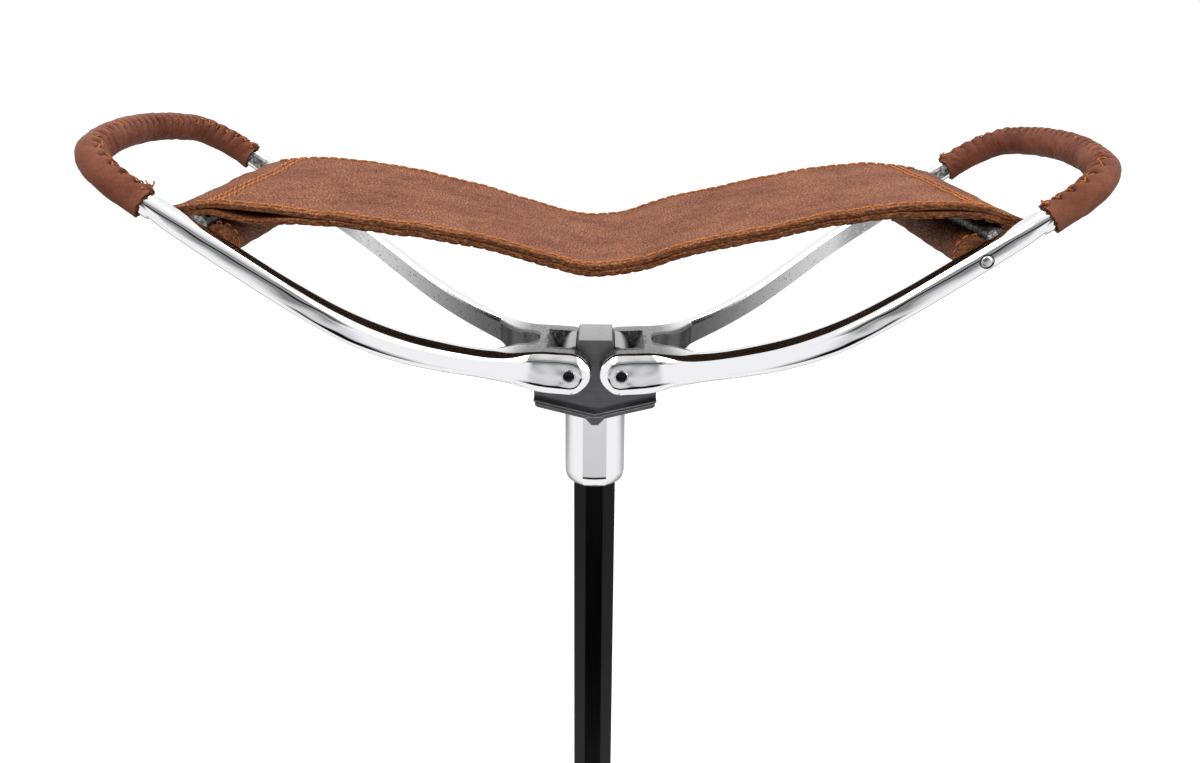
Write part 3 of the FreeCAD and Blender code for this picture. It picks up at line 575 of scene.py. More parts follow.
# The upper or lower half of one side of an arm. Each station runs from the middle line up the inner face,
# over the flat edge and down the outer face back to the middle line, or to the rim of the pin hole.
def armHalf(rise):
    outer, inner = railPlan()
    edge = arm["top"] if rise > 0 else arm["bottom"]
    lobeRows, hole, station = arm["lobeRows"], arm["pinHole"], outer[:, 0]
    stations = np.concatenate([np.full(lobeRows, pinX), station])[:, None]
    outDrop, outAcross = outerSection(stations)
    inDrop = np.concatenate([np.linspace(1, 0, arm["innerColumns"]), np.zeros(arm["flatColumns"])])
    drop = np.concatenate([np.broadcast_to(inDrop, (len(stations), outerStart)), outDrop], 1)
    outer, inner = (np.concatenate([np.tile([0.0, arm[key]], (lobeRows, 1)), line])
                    for key, line in (("halfDepth", outer), ("windowHalf", inner)))
    depth = arm["roundDepth"] / np.linalg.norm(outer - inner, axis=1)[:, None]
    flat = np.linspace(0, 1, arm["flatColumns"] + 2)[1:-1]
    share = np.concatenate([np.zeros((len(stations), arm["innerColumns"])), flat * (1 - depth),
                            1 - depth * (1 - outAcross)], 1)
    plan = inner[:, None] + (outer - inner)[:, None] * share[..., None]
    # The lobe: radial lines from the pin hole to the round end
    turn = np.linspace(math.pi, math.pi / 2, lobeRows + 1)[:-1, None]
    reach = arm["lobeRadius"] * (1 - drop[:lobeRows]) + hole * drop[:lobeRows]
    lobe = np.stack([pinX + reach * np.cos(turn), plan[:lobeRows, :, 1], rise * reach * np.sin(turn)], -1)
    # The rest: the middle line's end of a station slides round the hole's rim, then along the middle line
    x, railDrop = plan[lobeRows:, :, 0], drop[lobeRows:]
    around = (math.pi / 2) * (1 - smooth(station, pinX - 2, arm["holeEnd"]) ** 0.8)
    slide = smooth(station, arm["holeEnd"], arm["slideEnd"])
    rimX = pinX + hole * np.cos(around)
    rimX = rimX + (station - rimX) * slide
    rimZ = hole * np.sin(around) * rise * (station < arm["holeEnd"])
    goalZ = rimZ[:, None] + railMiddle(x) * slide[:, None]
    edgeZ = curveAt(np.maximum(x, pinX), edge)
    rail = np.stack([x + (rimX - station)[:, None] * railDrop, plan[lobeRows:, :, 1],
                     edgeZ * (1 - railDrop) + goalZ * railDrop], -1)
    points = np.concatenate([lobe, rail])
    face = points[:, outerStart:]
    face[..., 1] = earFace(face, edge, outer[lobeRows:])
    # Rail tops slope to both sides of a crest; ears fall away from a ridge at the height of the pin
    x, crest = points[..., 0], arm["crest"]
    innerBevel = arm["innerDrop"] * np.clip(1 - share / crest, 0, 1) ** 1.15
    outerSlope = arm["outerDrop"] * np.clip((share - crest) / (1 - crest), 0, 1) ** 1.5
    points[..., 2] -= rise * (innerBevel + outerSlope) * smooth(x, *arm["slopeFades"]) * (1 - drop)
    ridge = arm["ridge"] * (1 - smooth(x, *arm["ridgeFades"]))
    ridge += arm["tipRidge"] * (1 - smooth(x, *arm["tipFades"]))
    level = np.abs(points[..., 2] - railMiddle(x))
    face[..., 1] -= (ridge * np.sqrt(level ** 2 + 0.6))[:, outerStart:]
    swell = arm["swell"] * smooth(x, *arm["swellFades"]) * waves(x, points[..., 2] * 6, 70.0, 9)
    face[:, 1:, 1] += (swell * np.abs(drop) ** 0.5)[:, outerStart + 1:]
    # Drawn in towards the rail's middle under the leather
    shrink = 1 - (1 - arm["endShrink"]) * smooth(x, *arm["shrinkFades"])
    centreY = (points[..., 1].min(1) + points[..., 1].max(1))[:, None] / 2
    points[..., 1] = centreY + (points[..., 1] - centreY) * shrink
    points[..., 2] = railMiddle(x) + (points[..., 2] - railMiddle(x)) * shrink
    flatY = np.abs(points[..., 1]) < 1e-6
    onMiddle = flatY[:-1, :-1] & flatY[1:, :-1] & flatY[:-1, 1:] & flatY[1:, 1:]
    # Walls of the pin hole, from its inner to its outer rim
    wallRows = lobeRows + int((station < arm["holeEnd"]).sum()) + 1
    wall = np.stack([points[:wallRows, 0], points[:wallRows, -1]], 1)
    return [{"points": points, "keep": ~onMiddle, "masks": armMasks(x, rise)}, {"points": wall}]


# A rough bar along y: a superellipse section, its radius times one plus the cast lumps' waves.
def barAcross(x, z, half, reach, power, roughness, seed):
    turn = np.linspace(0, 2 * math.pi, 41)
    y = np.linspace(-reach, reach, 90)[:, None]
    lump = 1 + roughness * waves(turn[None] * 5, y, 5.0, seed)
    lump[:, -1] = lump[:, 0]
    cx, cz = (np.sign(v) * np.abs(v) ** (2 / power) for v in (np.cos(turn), np.sin(turn)))
    return capEnds(np.stack([x + half * cx * lump, y + 0 * lump, z + half * cz * lump], -1))


gripWrap = {
    "bar": 4.8, "radius": 6.35, "corner": 24.0, "bow": 210.0, "apex": 210.8, "start": 179.9, "farCut": 2.9,
    "stitchPitch": 5.7, "seamSpread": 17.0, "slant": 0.36, "thickness": 1.3, "pillow": 1.6, "sidePillow": 0.8,
    "pillowReach": 0.55, "sideAt": 0.85, "sideReach": 0.7, "ridge": 0.12, "ridgeReach": 0.5, "eyeDepth": 1.5,
    "eye": (1.3, 1.8), "rowEye": (0.8, 0.9),  # each along and across the seam
    "wrinklePitch": 5.6, "wrinkleDepth": 1.1, "wrinkleAt": 1.35, "wrinkleReach": 0.7, "step": 0.42,
    "flare": 0.45, "flareReach": 2.2, "ragged": 0.30, "notch": 0.9, "raggedReach": 3.0,
    "seam": {"left": [(0.0, 104.0), (0.2, 92.0), (0.35, 84.0), (0.5, 108.0), (0.75, 116.0), (0.92, 102.0),
                      (1.0, 92.0)],
             "right": [(0.0, 99.0), (0.12, 84.0), (0.3, 68.0), (0.5, 68.0), (0.75, 74.0), (1.0, 80.0)]}}
slopeTurn = math.radians(arm["slope"])


# Middle line of the grip: straight, a corner arc, a shallow bow, and back. Gives the distance along it,
# its length, and the places with their outward and up directions.
def gripPath(start, step):
    apex = gripWrap["apex"] / math.cos(slopeTurn)
    bow, corner, half = gripWrap["bow"], gripWrap["corner"], arm["gripHalf"]
    bowAt = apex - bow
    cornerY = half - corner
    reach = math.sqrt((bow - corner) ** 2 - cornerY ** 2)
    bend = math.atan2(cornerY, reach)
    begin = start / math.cos(slopeTurn)
    straight = bowAt + reach - begin
    arc = corner * (math.pi / 2 - bend)
    total = 2 * (straight + arc + bow * bend)
    s = np.linspace(0, total, int(total / step) | 1)
    m = np.minimum(s, total - s)
    sign = np.where(s < total / 2, -1.0, 1.0)
    # Turn of the outward direction away from the y axis
    turn = (math.pi / 2 - np.clip((m - straight) / corner, 0, math.pi / 2 - bend)
            - np.clip((m - straight - arc) / bow, 0, bend))
    along = np.where(m < straight, begin + m, bowAt + reach + corner * np.cos(turn))
    sideways = np.where(m < straight, half, cornerY + corner * np.sin(turn))
    onBow = m > straight + arc
    along = np.where(onBow, bowAt + bow * np.cos(turn), along)
    sideways = np.where(onBow, bow * np.sin(turn), sideways)
    height = railMiddle(150.0) - 150.0 * math.tan(slopeTurn)
    flat = np.array([math.cos(slopeTurn), 0, math.sin(slopeTurn)])
    acrossAxis = np.array([0, 1, 0])
    places = along[:, None] * flat + (sideways * sign)[:, None] * acrossAxis + np.array([0, 0, height])
    outward = np.cos(turn)[:, None] * flat + (np.sin(turn) * sign)[:, None] * acrossAxis
    up = np.array([-math.sin(slopeTurn), 0, math.cos(slopeTurn)])
    return s, total, places, outward, np.broadcast_to(up, places.shape)


# Rings of the given radius, which may vary along and around, about a line.
def tubeAlong(places, outward, up, radius, turns):
    ring = np.cos(turns)[None, :, None] * outward[:, None] + np.sin(turns)[None, :, None] * up[:, None]
    return places[:, None] + ring * np.broadcast_to(radius, (len(places), len(turns)))[..., None]


# Both halves and both faces, closed rail ends, the grip bar under the leather, and the rough crossbar.
def buildArm(side):
    grids, ends = [], []
    for rise in (1, -1):
        half = armHalf(rise)
        for grid in half:
            grids += [dict(grid, points=grid["points"] * [1, flip, 1]) for flip in (1, -1)]
        ends.append(half[0]["points"][-1][::rise])
    end = np.concatenate(ends + [ends[0][:1]])
    for flip in (1, -1):
        rim = end * [1, flip, 1]
        grids.append({"points": np.stack([rim, np.repeat(rim.mean(0)[None], len(rim), 0)])})
    _, _, places, outward, up = gripPath(arm["railEnd"] - 8, 3.0)
    turns = np.linspace(0, 2 * math.pi, 33)
    grids.append({"points": capEnds(tubeAlong(places, outward, up, gripWrap["bar"], turns))})
    bar = barAcross(arm["barX"], railMiddle(arm["barX"]) + arm["barRise"], *arm["crossbar"])
    grids.append({"points": bar, "masks": {"castMask": 1.0}})
    sidePiece(side, "Arm", grids, [polished], "arm", 38)


pin = {"half": 25.85, "radius": 3.12, "wall": 0.62, "gap": 0.04, "chamfer": 0.3, "plugRadius": 2.28,
       "plugHalf": 22.0}


# A slit pin rolled from strip: a C-shaped section with chamfered rims, carried along y, and a dark plug
# deep in its bore as painted shade.
def springPin(side):
    radius, wall, half, chamfer = pin["radius"], pin["wall"], pin["half"], pin["chamfer"]
    ring = onCircle(np.linspace(math.pi / 2 + pin["gap"], math.pi * 2.5 - pin["gap"], 49))

    # Round the outside, back round the inside, and closed
    def section(outside, inside):
        return np.concatenate([ring * outside, (ring * inside)[::-1], ring[:1] * outside])

    loop = section(radius, radius - wall)
    soft = section(radius - 0.25, radius - wall + 0.2)
    core = (loop + section(radius - wall, radius)) / 2
    points = outlinesAlong([(core, -half), (soft, -half), (loop, chamfer - half), (loop, half - chamfer),
                            (soft, half), (core, half)])
    plug = turnedAcross(pinX, 0, [(pin["plugRadius"], end * pin["plugHalf"]) for end in (-1, 1)], 32)
    sidePiece(side, "HingePin", [{"points": points + [pinX, 0, 0]}, {"points": capEnds(plug), "material": 1}],
              [steel, boreShade], "hinge_pin")


rod = {"x": 155.8, "radius": 2.4, "reach": 72.2, "dome": 0.8, "leftShort": 1.7,
       "sink": [(2.95, 70.9), (2.95, 71.75), (2.52, 71.75), (2.52, 70.9), (2.95, 70.9)]}


# The rod across the rails, with riveted, slightly domed ends in a countersink lined with painted shade.
def strapRod(side):
    dome = np.linspace(0, math.pi / 2, 6)[1:]
    rings = [(rod["radius"] * np.sin(t), rod["reach"] + rod["dome"] * (np.cos(t) - 1)) for t in dome]
    nearShort = rod["leftShort"] if side == "left" else 0.0
    z = railMiddle(rod["x"])
    bar = turnedAcross(rod["x"], z, [(r, nearShort - y) for r, y in rings] + rings[::-1], 40)
    grids = [{"points": capEnds(bar)}]
    for y in ((-1, 1) if side == "right" else (1,)):
        # The countersink's ring is painted shade
        sink = turnedAcross(rod["x"], z, [(r, y * reach) for r, reach in rod["sink"]], 40)
        grids.append({"points": sink, "material": 1})
    sidePiece(side, "StrapRod", grids, [steel, boreShade], "strap_rod")


for side in sides:
    buildArm(side)
    springPin(side)
    strapRod(side)

print("stage: head, collar and stick")
head = {
    "halfDepth": 13.6, "topHalf": 7.96, "top": 14.0, "shoulder": 10.9, "shoulderHalf": 8.9,
    "pillarFoot": -17.0, "knuckleRadius": 7.6, "knuckleOut": 16.7, "knuckleGap": 0.45, "knuckleEnd": -6.0,
    "knuckleSpread": 2.2, "knuckleFoot": -16, "knuckleIn": 3, "wingReach": 29.4, "wingTop": -14.6,
    "wingSlope": 14.0, "lipTop": -22.0, "lipThick": 3.3, "lipOut": 17.8, "grooveIn": 0.7, "lipCut": 1.1,
    "nose": [(4.6, -1.0), (4.6, -2.2), (1.6, -5.6)], "spigot": [(8.6, -24.0), (8.6, -66.0)]}
wingRise = math.tan(math.radians(head["wingSlope"]))


# A level that rises from the middle to both sides at the wings' slope.
def wingLine(level, x):
    return level + abs(x) * wingRise


# A closed outline from its right side, which is mirrored, and what stands in the middle between them.
def bothSides(right, low=(), high=()):
    left = [(-x, z) for x, z in right[::-1]]
    return left[-1:] + list(low) + right + list(high) + left[:-1]


# Outline of a band that rises from the middle to both sides; cut takes off its lower outer corners.
def vBand(top, bottom, reach, cut=0.0):
    corner = [(reach, wingLine(bottom, reach) + cut * 0.6)]
    if cut:
        corner.insert(0, (reach - cut, wingLine(bottom, reach - cut)))
    return bothSides(corner + [(reach, wingLine(top, reach))], [(0, bottom)], [(0, top)])


# The head: a pillar with a narrower top, a round-shouldered knuckle on each side, wings with a grooved lip,
# a nose under the lip's middle, and the spigot.
def buildHead():
    d, top, shoulder, half = head["halfDepth"], head["top"], head["shoulder"], head["shoulderHalf"]
    pillar = bothSides([(head["topHalf"], top), (half, shoulder), (half, head["pillarFoot"])])
    grids = [prism(pillar, -d, d, 0.35)]
    r, out, heel, into = (head["knuckle" + key] for key in ("Radius", "Out", "Foot", "In"))
    spread = out + head["knuckleSpread"]
    arc = onCircle(np.linspace(math.pi / 2, 0, 16))[1:] * r + [out - r, shoulder - 0.1 - r]
    knuckle = [(half + head["knuckleGap"], shoulder - 0.1), *arc, (out, head["knuckleEnd"]),
               (spread, wingLine(head["wingTop"], spread)), (spread, heel), (half - into, heel),
               (half - into, 2.0), (half + head["knuckleGap"], 3.5)]
    # Knuckles take the lighter top material: painted light from above on their curved tops
    for flip in (1, -1):
        grids.append(prism([(x * flip, z) for x, z in knuckle], 0.5 - d, d - 0.5, 0.3, 1))
    lipTop, lipOut, reach = head["lipTop"], head["lipOut"], head["wingReach"]
    low, third, groove = lipTop - head["lipThick"], head["lipThick"] / 3, head["grooveIn"]
    grids.append(prism(vBand(head["wingTop"], lipTop - 1, reach), 0.03 - d, d - 0.03, 0.3))
    for bandTop, bottom, inset, cut in ((lipTop, lipTop - third * 0.85, 0.0, 0.0),
                                        (lipTop - third * 0.6, low + third * 0.6, groove, 0.0),
                                        (lipTop - third * 1.25, low, 0.0, head["lipCut"])):
        band = vBand(bandTop, bottom, reach - inset - cut * 0.6, cut)
        grids.append(prism(band, inset - lipOut, lipOut - inset, 0.22))
    nose = bothSides([(x, lipTop + z) for x, z in head["nose"]])
    grids.append(prism(nose, -lipOut - 0.3, lipOut + 0.3, 0.5))
    grids.append({"points": capEnds(revolved(head["spigot"])["points"])})
    # The upward face is linished and, like the knuckles, painted lighter as lit from above; the rest is darker
    # and brushed
    plate = bothSides([(head["topHalf"] - 0.15, top + 0.02), (head["topHalf"] - 0.3, top - 1.0)])
    grids.append(prism(plate, 0.1 - d, d - 0.1, 0.15, 1))
    meshPiece("headBlock", grids, [headFront, headLitTop], "root", ["head_block"], angle=25)


# Plan outline of a rounded octagon with flats to the front, back and sides: an eighth, made of a corner's
# arc and a flat that may bulge by a parabola, turned eight times.
def octagonRing(acrossFlats, cornerRadius, crown):
    eighth = math.radians(45)
    apothem = acrossFlats / 2 - cornerRadius
    halfSide = apothem * math.tan(eighth / 2)
    u = np.linspace(-1, 1, 9)[1:-1]
    arc = apothem + 1j * halfSide + cornerRadius * np.exp(1j * np.linspace(0, eighth, 5))
    flat = (acrossFlats / 2 + crown * (1 - u ** 2) + 1j * halfSide * u) * np.exp(1j * eighth)
    turns = np.exp(1j * eighth * np.arange(8))[:, None]
    ring = (turns * np.concatenate([arc, flat])).ravel()
    ring = np.append(ring, ring[0])
    return np.stack([ring.real, ring.imag], -1)


# A grid from (acrossFlats, cornerRadius, z) rows; z may be a function of the ring's points.
def octagonRows(rows, crown=0.0):
    made = []
    for across, radius, z in rows:
        ring = octagonRing(across, radius, crown)
        height = z(ring) if callable(z) else np.full(len(ring), z)
        made.append(np.concatenate([ring, height[:, None]], 1))
    return {"points": np.stack(made)}


# "rounding" is the foot's: inset of the flats and height above the end. The first two rows hold the flats'
# normals straight.
collar = {
    "across": 29.0, "corner": 1.1, "bottom": -63.2, "crown": 0.4, "bore": 20.96, "spigotBore": 18.0,
    "boreCorner": 0.9, "boreTop": -30.0,
    "rounding": [(0.0, 7.0), (0.0, 5.95), (0.03, 5.75), (0.10, 5.5), (0.19, 5.2), (0.55, 4.1), (1.2, 2.8),
                 (2.1, 1.6), (3.1, 0.7), (3.8, 0.2), (4.3, 0.0)]}
tube = {"across": 20.8, "corner": 0.7, "bore": 17.6, "boreCorner": 0.4, "top": -30.0, "foot": 74.0}


# The collar's rim follows the lip above it; its foot is rounded and its bore steps in below the spigot.
def buildCollar():
    # Height just under the lip at a ring's points
    def under(ring):
        return wingLine(head["lipTop"] - head["lipThick"] - 0.05, ring[:, 0])

    across, bottom, corner, soft = collar["across"], collar["bottom"], collar["corner"], collar["boreCorner"]
    rows = [(across, corner, under)]
    rows += [(across - 2 * inset * 0.72, corner + 0.3 * inset, bottom + height)
             for inset, height in collar["rounding"]]
    rows += [(21.3, soft, bottom + 0.1), (collar["bore"], soft, bottom + 0.5),
             (collar["bore"], soft, collar["boreTop"]), (collar["spigotBore"], soft, collar["boreTop"] + 0.5),
             (collar["spigotBore"], soft, under), rows[0]]
    meshPiece("collar", [octagonRows(rows, collar["crown"])], [polished], "root",
              ["collar"], angle=20)


# The tube: an octagon outside, a smaller one as its bore.
def buildTube():
    outside, bore = (tube["across"], tube["corner"]), (tube["bore"], tube["boreCorner"])
    top, bottom = tube["top"], tube["foot"] - pinHeight
    rows = [(*outside, top), (*outside, bottom), (*bore, bottom), (*bore, top), (*outside, top)]
    meshPiece("stickTube", [octagonRows(rows)], [anodised], "root", ["stick_tube"], angle=20)


# Profiles of the foot: radius and height above the ground.
foot = {
    "ferrule": [(11.0, 100), (13.0, 100), (13.0, 61), (10.0, 58), (4.1, 58), (4.1, 74), (11.0, 74),
                (11.0, 100)],
    "plate": [(4.1, 58), (34, 58), (38, 53), (36.3, 51.3), (32.5, 55), (4.1, 55), (4.1, 58)],
    "washer": [(4.1, 55), (12, 55), (12, 53.5), (4.1, 53.5), (4.1, 55)],
    "nut": [(4.02, 53.5), (7.0, 53.5), (9.9, 53.1), (9.9, 47.2), (8.6, 46.5), (4.02, 46.5), (4.02, 53.5)],
    "nutHalf": 8.5, "nutTurns": 73,
    "spike": [(0.01, 104), (3.4, 104), (4.0, 103), (4.0, 46), (5.0, 45.5), (5.0, 21), (1.2, 5), (0.01, 5)],
    "well": [(0.01, 4.5), (5.06, 4.5)],
    "rubberTop": [(5.06, 45.0), (9.6, 45.0), (10.5, 44.0)], "ribs": 4, "ribTop": 39.0, "ribPitch": 7.2,
    "rib": [(10.5, 0.0), (9.5, -0.4), (9.5, -1.6), (10.5, -2.0)],
    "rubberFoot": [(10.5, 11.0), (12.0, 9.0), (17.0, 6.0), (17.0, 1.5), (15.5, 0.0), (14.2, 0.0), (14.0, 0.9),
                   (12.2, 0.9), (12.0, 0.0), (0.01, 0.0)]}


# Turned pieces of the foot, and the nut: a hexagon whose rings are cut off by circles.
def buildFoot():
    # One turned piece, its profile's corners rounded and its heights moved to the pins'
    def turned(name, profile, rounding, material, slot, node, body="root", steps=4, count=72, start=()):
        shape = np.array([*start, *roundedProfile(profile, rounding, steps)]) - [0, pinHeight]
        meshPiece(name, [revolved(shape, count)], [material], body, [node])

    turned("footFerrule", foot["ferrule"], 1.0, polished, "polished_alloy", "foot_ferrule")
    turned("groundPlate", foot["plate"], 1.2, steel, "bright_steel", "ground_plate", count=120)
    turned("plateWasher", foot["washer"], 0.4, steel, "bright_steel", "plate_washer")
    turn = np.linspace(0, 2 * math.pi, foot["nutTurns"])
    hexagon = foot["nutHalf"] / np.cos((turn + math.pi / 6) % (math.pi / 3) - math.pi / 6)
    rows = []
    for r, z in foot["nut"]:
        ring = np.minimum(hexagon, r)[:, None] * onCircle(turn)
        rows.append(np.column_stack([ring, np.full(len(turn), z - pinHeight)]))
    nut = {"points": np.stack(rows)}
    meshPiece("plateNut", [nut], [steel], "root", ["plate_nut"], angle=25)
    turned("spike", foot["spike"], 0.5, steel, "bright_steel", "spike")
    ribs = [(r, foot["ribTop"] - step * foot["ribPitch"] + z)
            for step in range(foot["ribs"]) for r, z in foot["rib"]]
    turned("rubberFerrule", foot["rubberTop"] + ribs + foot["rubberFoot"], 0.5, rubber, "black_rubber",
           "rubber_ferrule", "ferrule_body", 3, 96, foot["well"])


buildHead()
buildCollar()
buildTube()
buildFoot()
# Solids that stay as they are, inside others
for name, material in (("collar_pin", steel), ("end_plug", rubber), ("rubber_ferrule_washer", steel)):
    node = frame["nodes"][name]
    node.data.materials.clear()
    node.data.materials.append(material)

print("stage: grips")


# Radius of the laced leather: pillows between creases that run slantwise from the seam, a hole at both
# ends of each stitch, wrinkles on the loop's inner side, and slack lumps. Also gives the seam's turn, the
# stitches' pitch and a mask of painted shade in the holes, creases and wrinkles.
def gripRadius(s, total, turns, side, seed):
    seam = np.radians(curveAt(s / total, gripWrap["seam"][side]))[:, None]
    away = (turns[None] - seam + math.pi) % (2 * math.pi) - math.pi
    pitch = total / round(total / gripWrap["stitchPitch"])
    order = s[:, None] / pitch + gripWrap["slant"] * away
    pillow = np.sqrt(np.abs(np.sin(math.pi * order)) + 0.02)
    reach = gripWrap["pillow"] * bell(away / gripWrap["pillowReach"])
    reach += gripWrap["sidePillow"] * bell((away - gripWrap["sideAt"]) / gripWrap["sideReach"])
    onSeam = bell(away / gripWrap["ridgeReach"])
    radius = gripWrap["radius"] + reach * (pillow - 0.72) + gripWrap["ridge"] * onSeam
    spread = math.radians(gripWrap["seamSpread"])
    near = np.abs((order + 0.5) % 1 - 0.5) * pitch
    (eyeLong, eyeWide), (rowLong, rowWide) = gripWrap["eye"], gripWrap["rowEye"]
    eye = bell(near / eyeLong) * bell(away * gripWrap["radius"] / eyeWide)
    for row in (-spread, spread):
        beside = bell((away - row) * gripWrap["radius"] / rowWide)
        eye = np.maximum(eye, 0.45 * bell(near / rowLong) * beside)
    radius -= gripWrap["eyeDepth"] * eye
    # Painted shade, darkest in the stitch holes and the creases along the seam
    creaseShade = np.clip(eye * 1.1 + onSeam * np.clip(0.7 - pillow, 0, 1) * 1.6, 0, 1)
    # Wrinkles fade away from the loop's inner side
    along = s[:, None]
    inner = bell((away - gripWrap["wrinkleAt"]) / gripWrap["wrinkleReach"])
    bend = 1.6 * waves(along, away * 6, 16.0, seed + 2)
    wrinkle = 1 - np.abs(np.sin(math.pi * along / gripWrap["wrinklePitch"] + bend + 0.5 * away)) ** 0.6
    strength = np.clip(0.30 + 0.34 * waves(along, away * 3, 22.0, seed + 3), 0.0, 0.8)
    radius -= inner * strength * wrinkle * gripWrap["wrinkleDepth"]
    radius += 0.12 * waves(along, away * 6, 11.0, seed + 4) + 0.05 * waves(along, away * 6, 3.0, seed + 5)
    # More painted shade in the wrinkles' folds
    creaseShade = np.clip(creaseShade + 0.9 * inner * strength * np.clip(wrinkle - 0.45, 0, 1), 0, 1)
    return radius, seam, pitch, creaseShade


# The leather tube about the grip's middle line. Both ends gape a little and are cut unevenly, with the
# raw edge turned in to the bar.
def buildGrip(side, seed):
    s, total, places, outward, up = gripPath(gripWrap["start"], gripWrap["step"])
    covered = s <= total - gripWrap["farCut"]
    s, places, outward, up = s[covered], places[covered], outward[covered], up[covered]
    total = s[-1]
    turns = np.linspace(0, 2 * math.pi, 121)
    radius, seam, pitch, creaseShade = gripRadius(s, total, turns, side, seed)
    radius += gripWrap["flare"] * np.exp(-np.minimum(s, total - s)[:, None] / gripWrap["flareReach"])
    radius[:, -1] = radius[:, 0]
    skin = tubeAlong(places, outward, up, radius, turns)
    forward = np.gradient(places, axis=0)
    forward /= np.linalg.norm(forward, axis=1, keepdims=True)
    ragged = gripWrap["ragged"] * waves(turns * 6.4, turns * 0, 2.6, seed + 7)
    ragged -= gripWrap["notch"] * bell((turns - seam[0]) / 0.35)
    ragged[-1] = ragged[0]
    fade = np.exp(-s / gripWrap["raggedReach"]) - np.exp(-(total - s) / gripWrap["raggedReach"])
    skin = skin + (fade[:, None] * forward)[:, None] * ragged[None, :, None]
    rims = []
    for row, under in ((0, 4), (-1, -5)):  # the end ring, and the ring below it on the bar
        rim, middle = skin[row], places[row]
        turned = rim + (middle - rim) * (gripWrap["thickness"] / radius[row][:, None])
        at = slice(under, under + 1)
        deep = tubeAlong(places[at], outward[at], up[at], gripWrap["bar"] + 0.1, turns)[0]
        rims.append({"points": np.stack([rim, turned, deep]), "material": 1})
    uv = np.stack(np.meshgrid(turns * gripWrap["radius"], s), -1)
    sidePiece(side, "Grip", [{"points": skin, "uv": uv, "masks": {"creaseMask": creaseShade}}] + rims,
              [gripLeather, rawEdge], "handle_wrap", 60)
    buildLacing(side, s, total, places, outward, up, seam, pitch, seed)


# A thin thread through (n, k, 3) paths: n threads of k points each, as rings square to the path.
def threadRun(path, radius, count=7):
    along = np.diff(path, axis=1)
    along = np.concatenate([along[:, :1], (along[:, 1:] + along[:, :-1]) / 2, along[:, -1:]], 1)
    along /= np.maximum(np.linalg.norm(along, axis=2, keepdims=True), 1e-9)
    side = np.cross(along, np.array([0.31, 0.52, 0.79]))
    side /= np.maximum(np.linalg.norm(side, axis=2, keepdims=True), 1e-9)
    upward = np.cross(along, side)
    turn = np.linspace(0, 2 * math.pi, count)
    ring = np.cos(turn)[:, None] * side[:, :, None] + np.sin(turn)[:, None] * upward[:, :, None]
    taper = np.ones(path.shape[1])
    taper[[0, -1]] = 0.45
    return path[:, :, None] + ring * (radius * taper)[None, :, None, None]


lacing = {"radius": 0.33, "sunk": (-1.2, -0.1), "width": (0.9, 1.25), "arch": 0.35, "slackReach": 42.0,
          "slackWidth": (0.8, 1.15), "slackLift": (-0.3, 0.15), "knotRadius": 0.32, "knotTurns": 9}


# Lacing: each stitch lies in a crease between the holes on the two sides of the seam, some deep and some
# proud, and a few loose turns and knots finish both ends.
def buildLacing(side, s, total, places, outward, up, seam, pitch, seed):
    count = int(total / pitch) - 1
    k = np.arange(1, count + 1)
    spread = math.radians(gripWrap["seamSpread"])
    r = np.random.default_rng(seed)
    t = np.linspace(0, 1, 9)

    # Points at a distance along the grip, a turn away from the seam, and a height over the middle line
    def over(along, away, lift):
        index = np.clip(along / total * (len(s) - 1), 0, len(s) - 1).astype(int)
        turn = seam[index, 0] + away
        ring = np.cos(turn)[..., None] * outward[index] + np.sin(turn)[..., None] * up[index]
        return places[index] + ring * lift[..., None]

    toEnd = np.minimum(k * pitch, total - k * pitch)[:, None]
    proud = 0.55 * bell(toEnd / 30) + r.uniform(*lacing["sunk"], (count, 1))
    away = spread * (2 * t - 1)[None] * r.uniform(*lacing["width"], (count, 1))
    along = (k[:, None] - gripWrap["slant"] * away) * pitch
    arch = lacing["arch"] * np.sin(math.pi * t)[None]
    runs = [over(along, away, gripWrap["radius"] - 0.25 + proud + arch)]
    # Slack crossing threads near both ends
    cross = k[toEnd[:, 0] < lacing["slackReach"]]
    swing = spread * (1 - 2 * t)[None] * r.uniform(*lacing["slackWidth"], (len(cross), 1))
    run = (cross[:, None] + 0.5 + 0.5 * (2 * t - 1)[None] * np.where(cross % 2 == 0, 1, -1)[:, None]) * pitch
    lift = r.uniform(*lacing["slackLift"], (len(cross), 1))
    runs.append(over(run, swing, gripWrap["radius"] - 0.15 + arch + lift))
    threads = [points for run in runs for points in threadRun(run, lacing["radius"])]
    for at in (4, len(s) - 5):
        for _ in range(lacing["knotTurns"]):
            wander = np.cumsum(r.normal(0, 0.3, (8, 3)), 0)
            turn = seam[at, 0] + r.normal(0, 0.3)
            ring = math.cos(turn) * outward[at] + math.sin(turn) * up[at]
            path = (places[at] + ring * (gripWrap["radius"] + 0.6))[None] + wander[None]
            threads.append(threadRun(path, lacing["knotRadius"])[0])
    sidePiece(side, "Lacing", [{"points": capEnds(points)} for points in threads], [thread],
              angle=60)


for seed, side in enumerate(sides):
    buildGrip(side, 21 + 10 * seed)

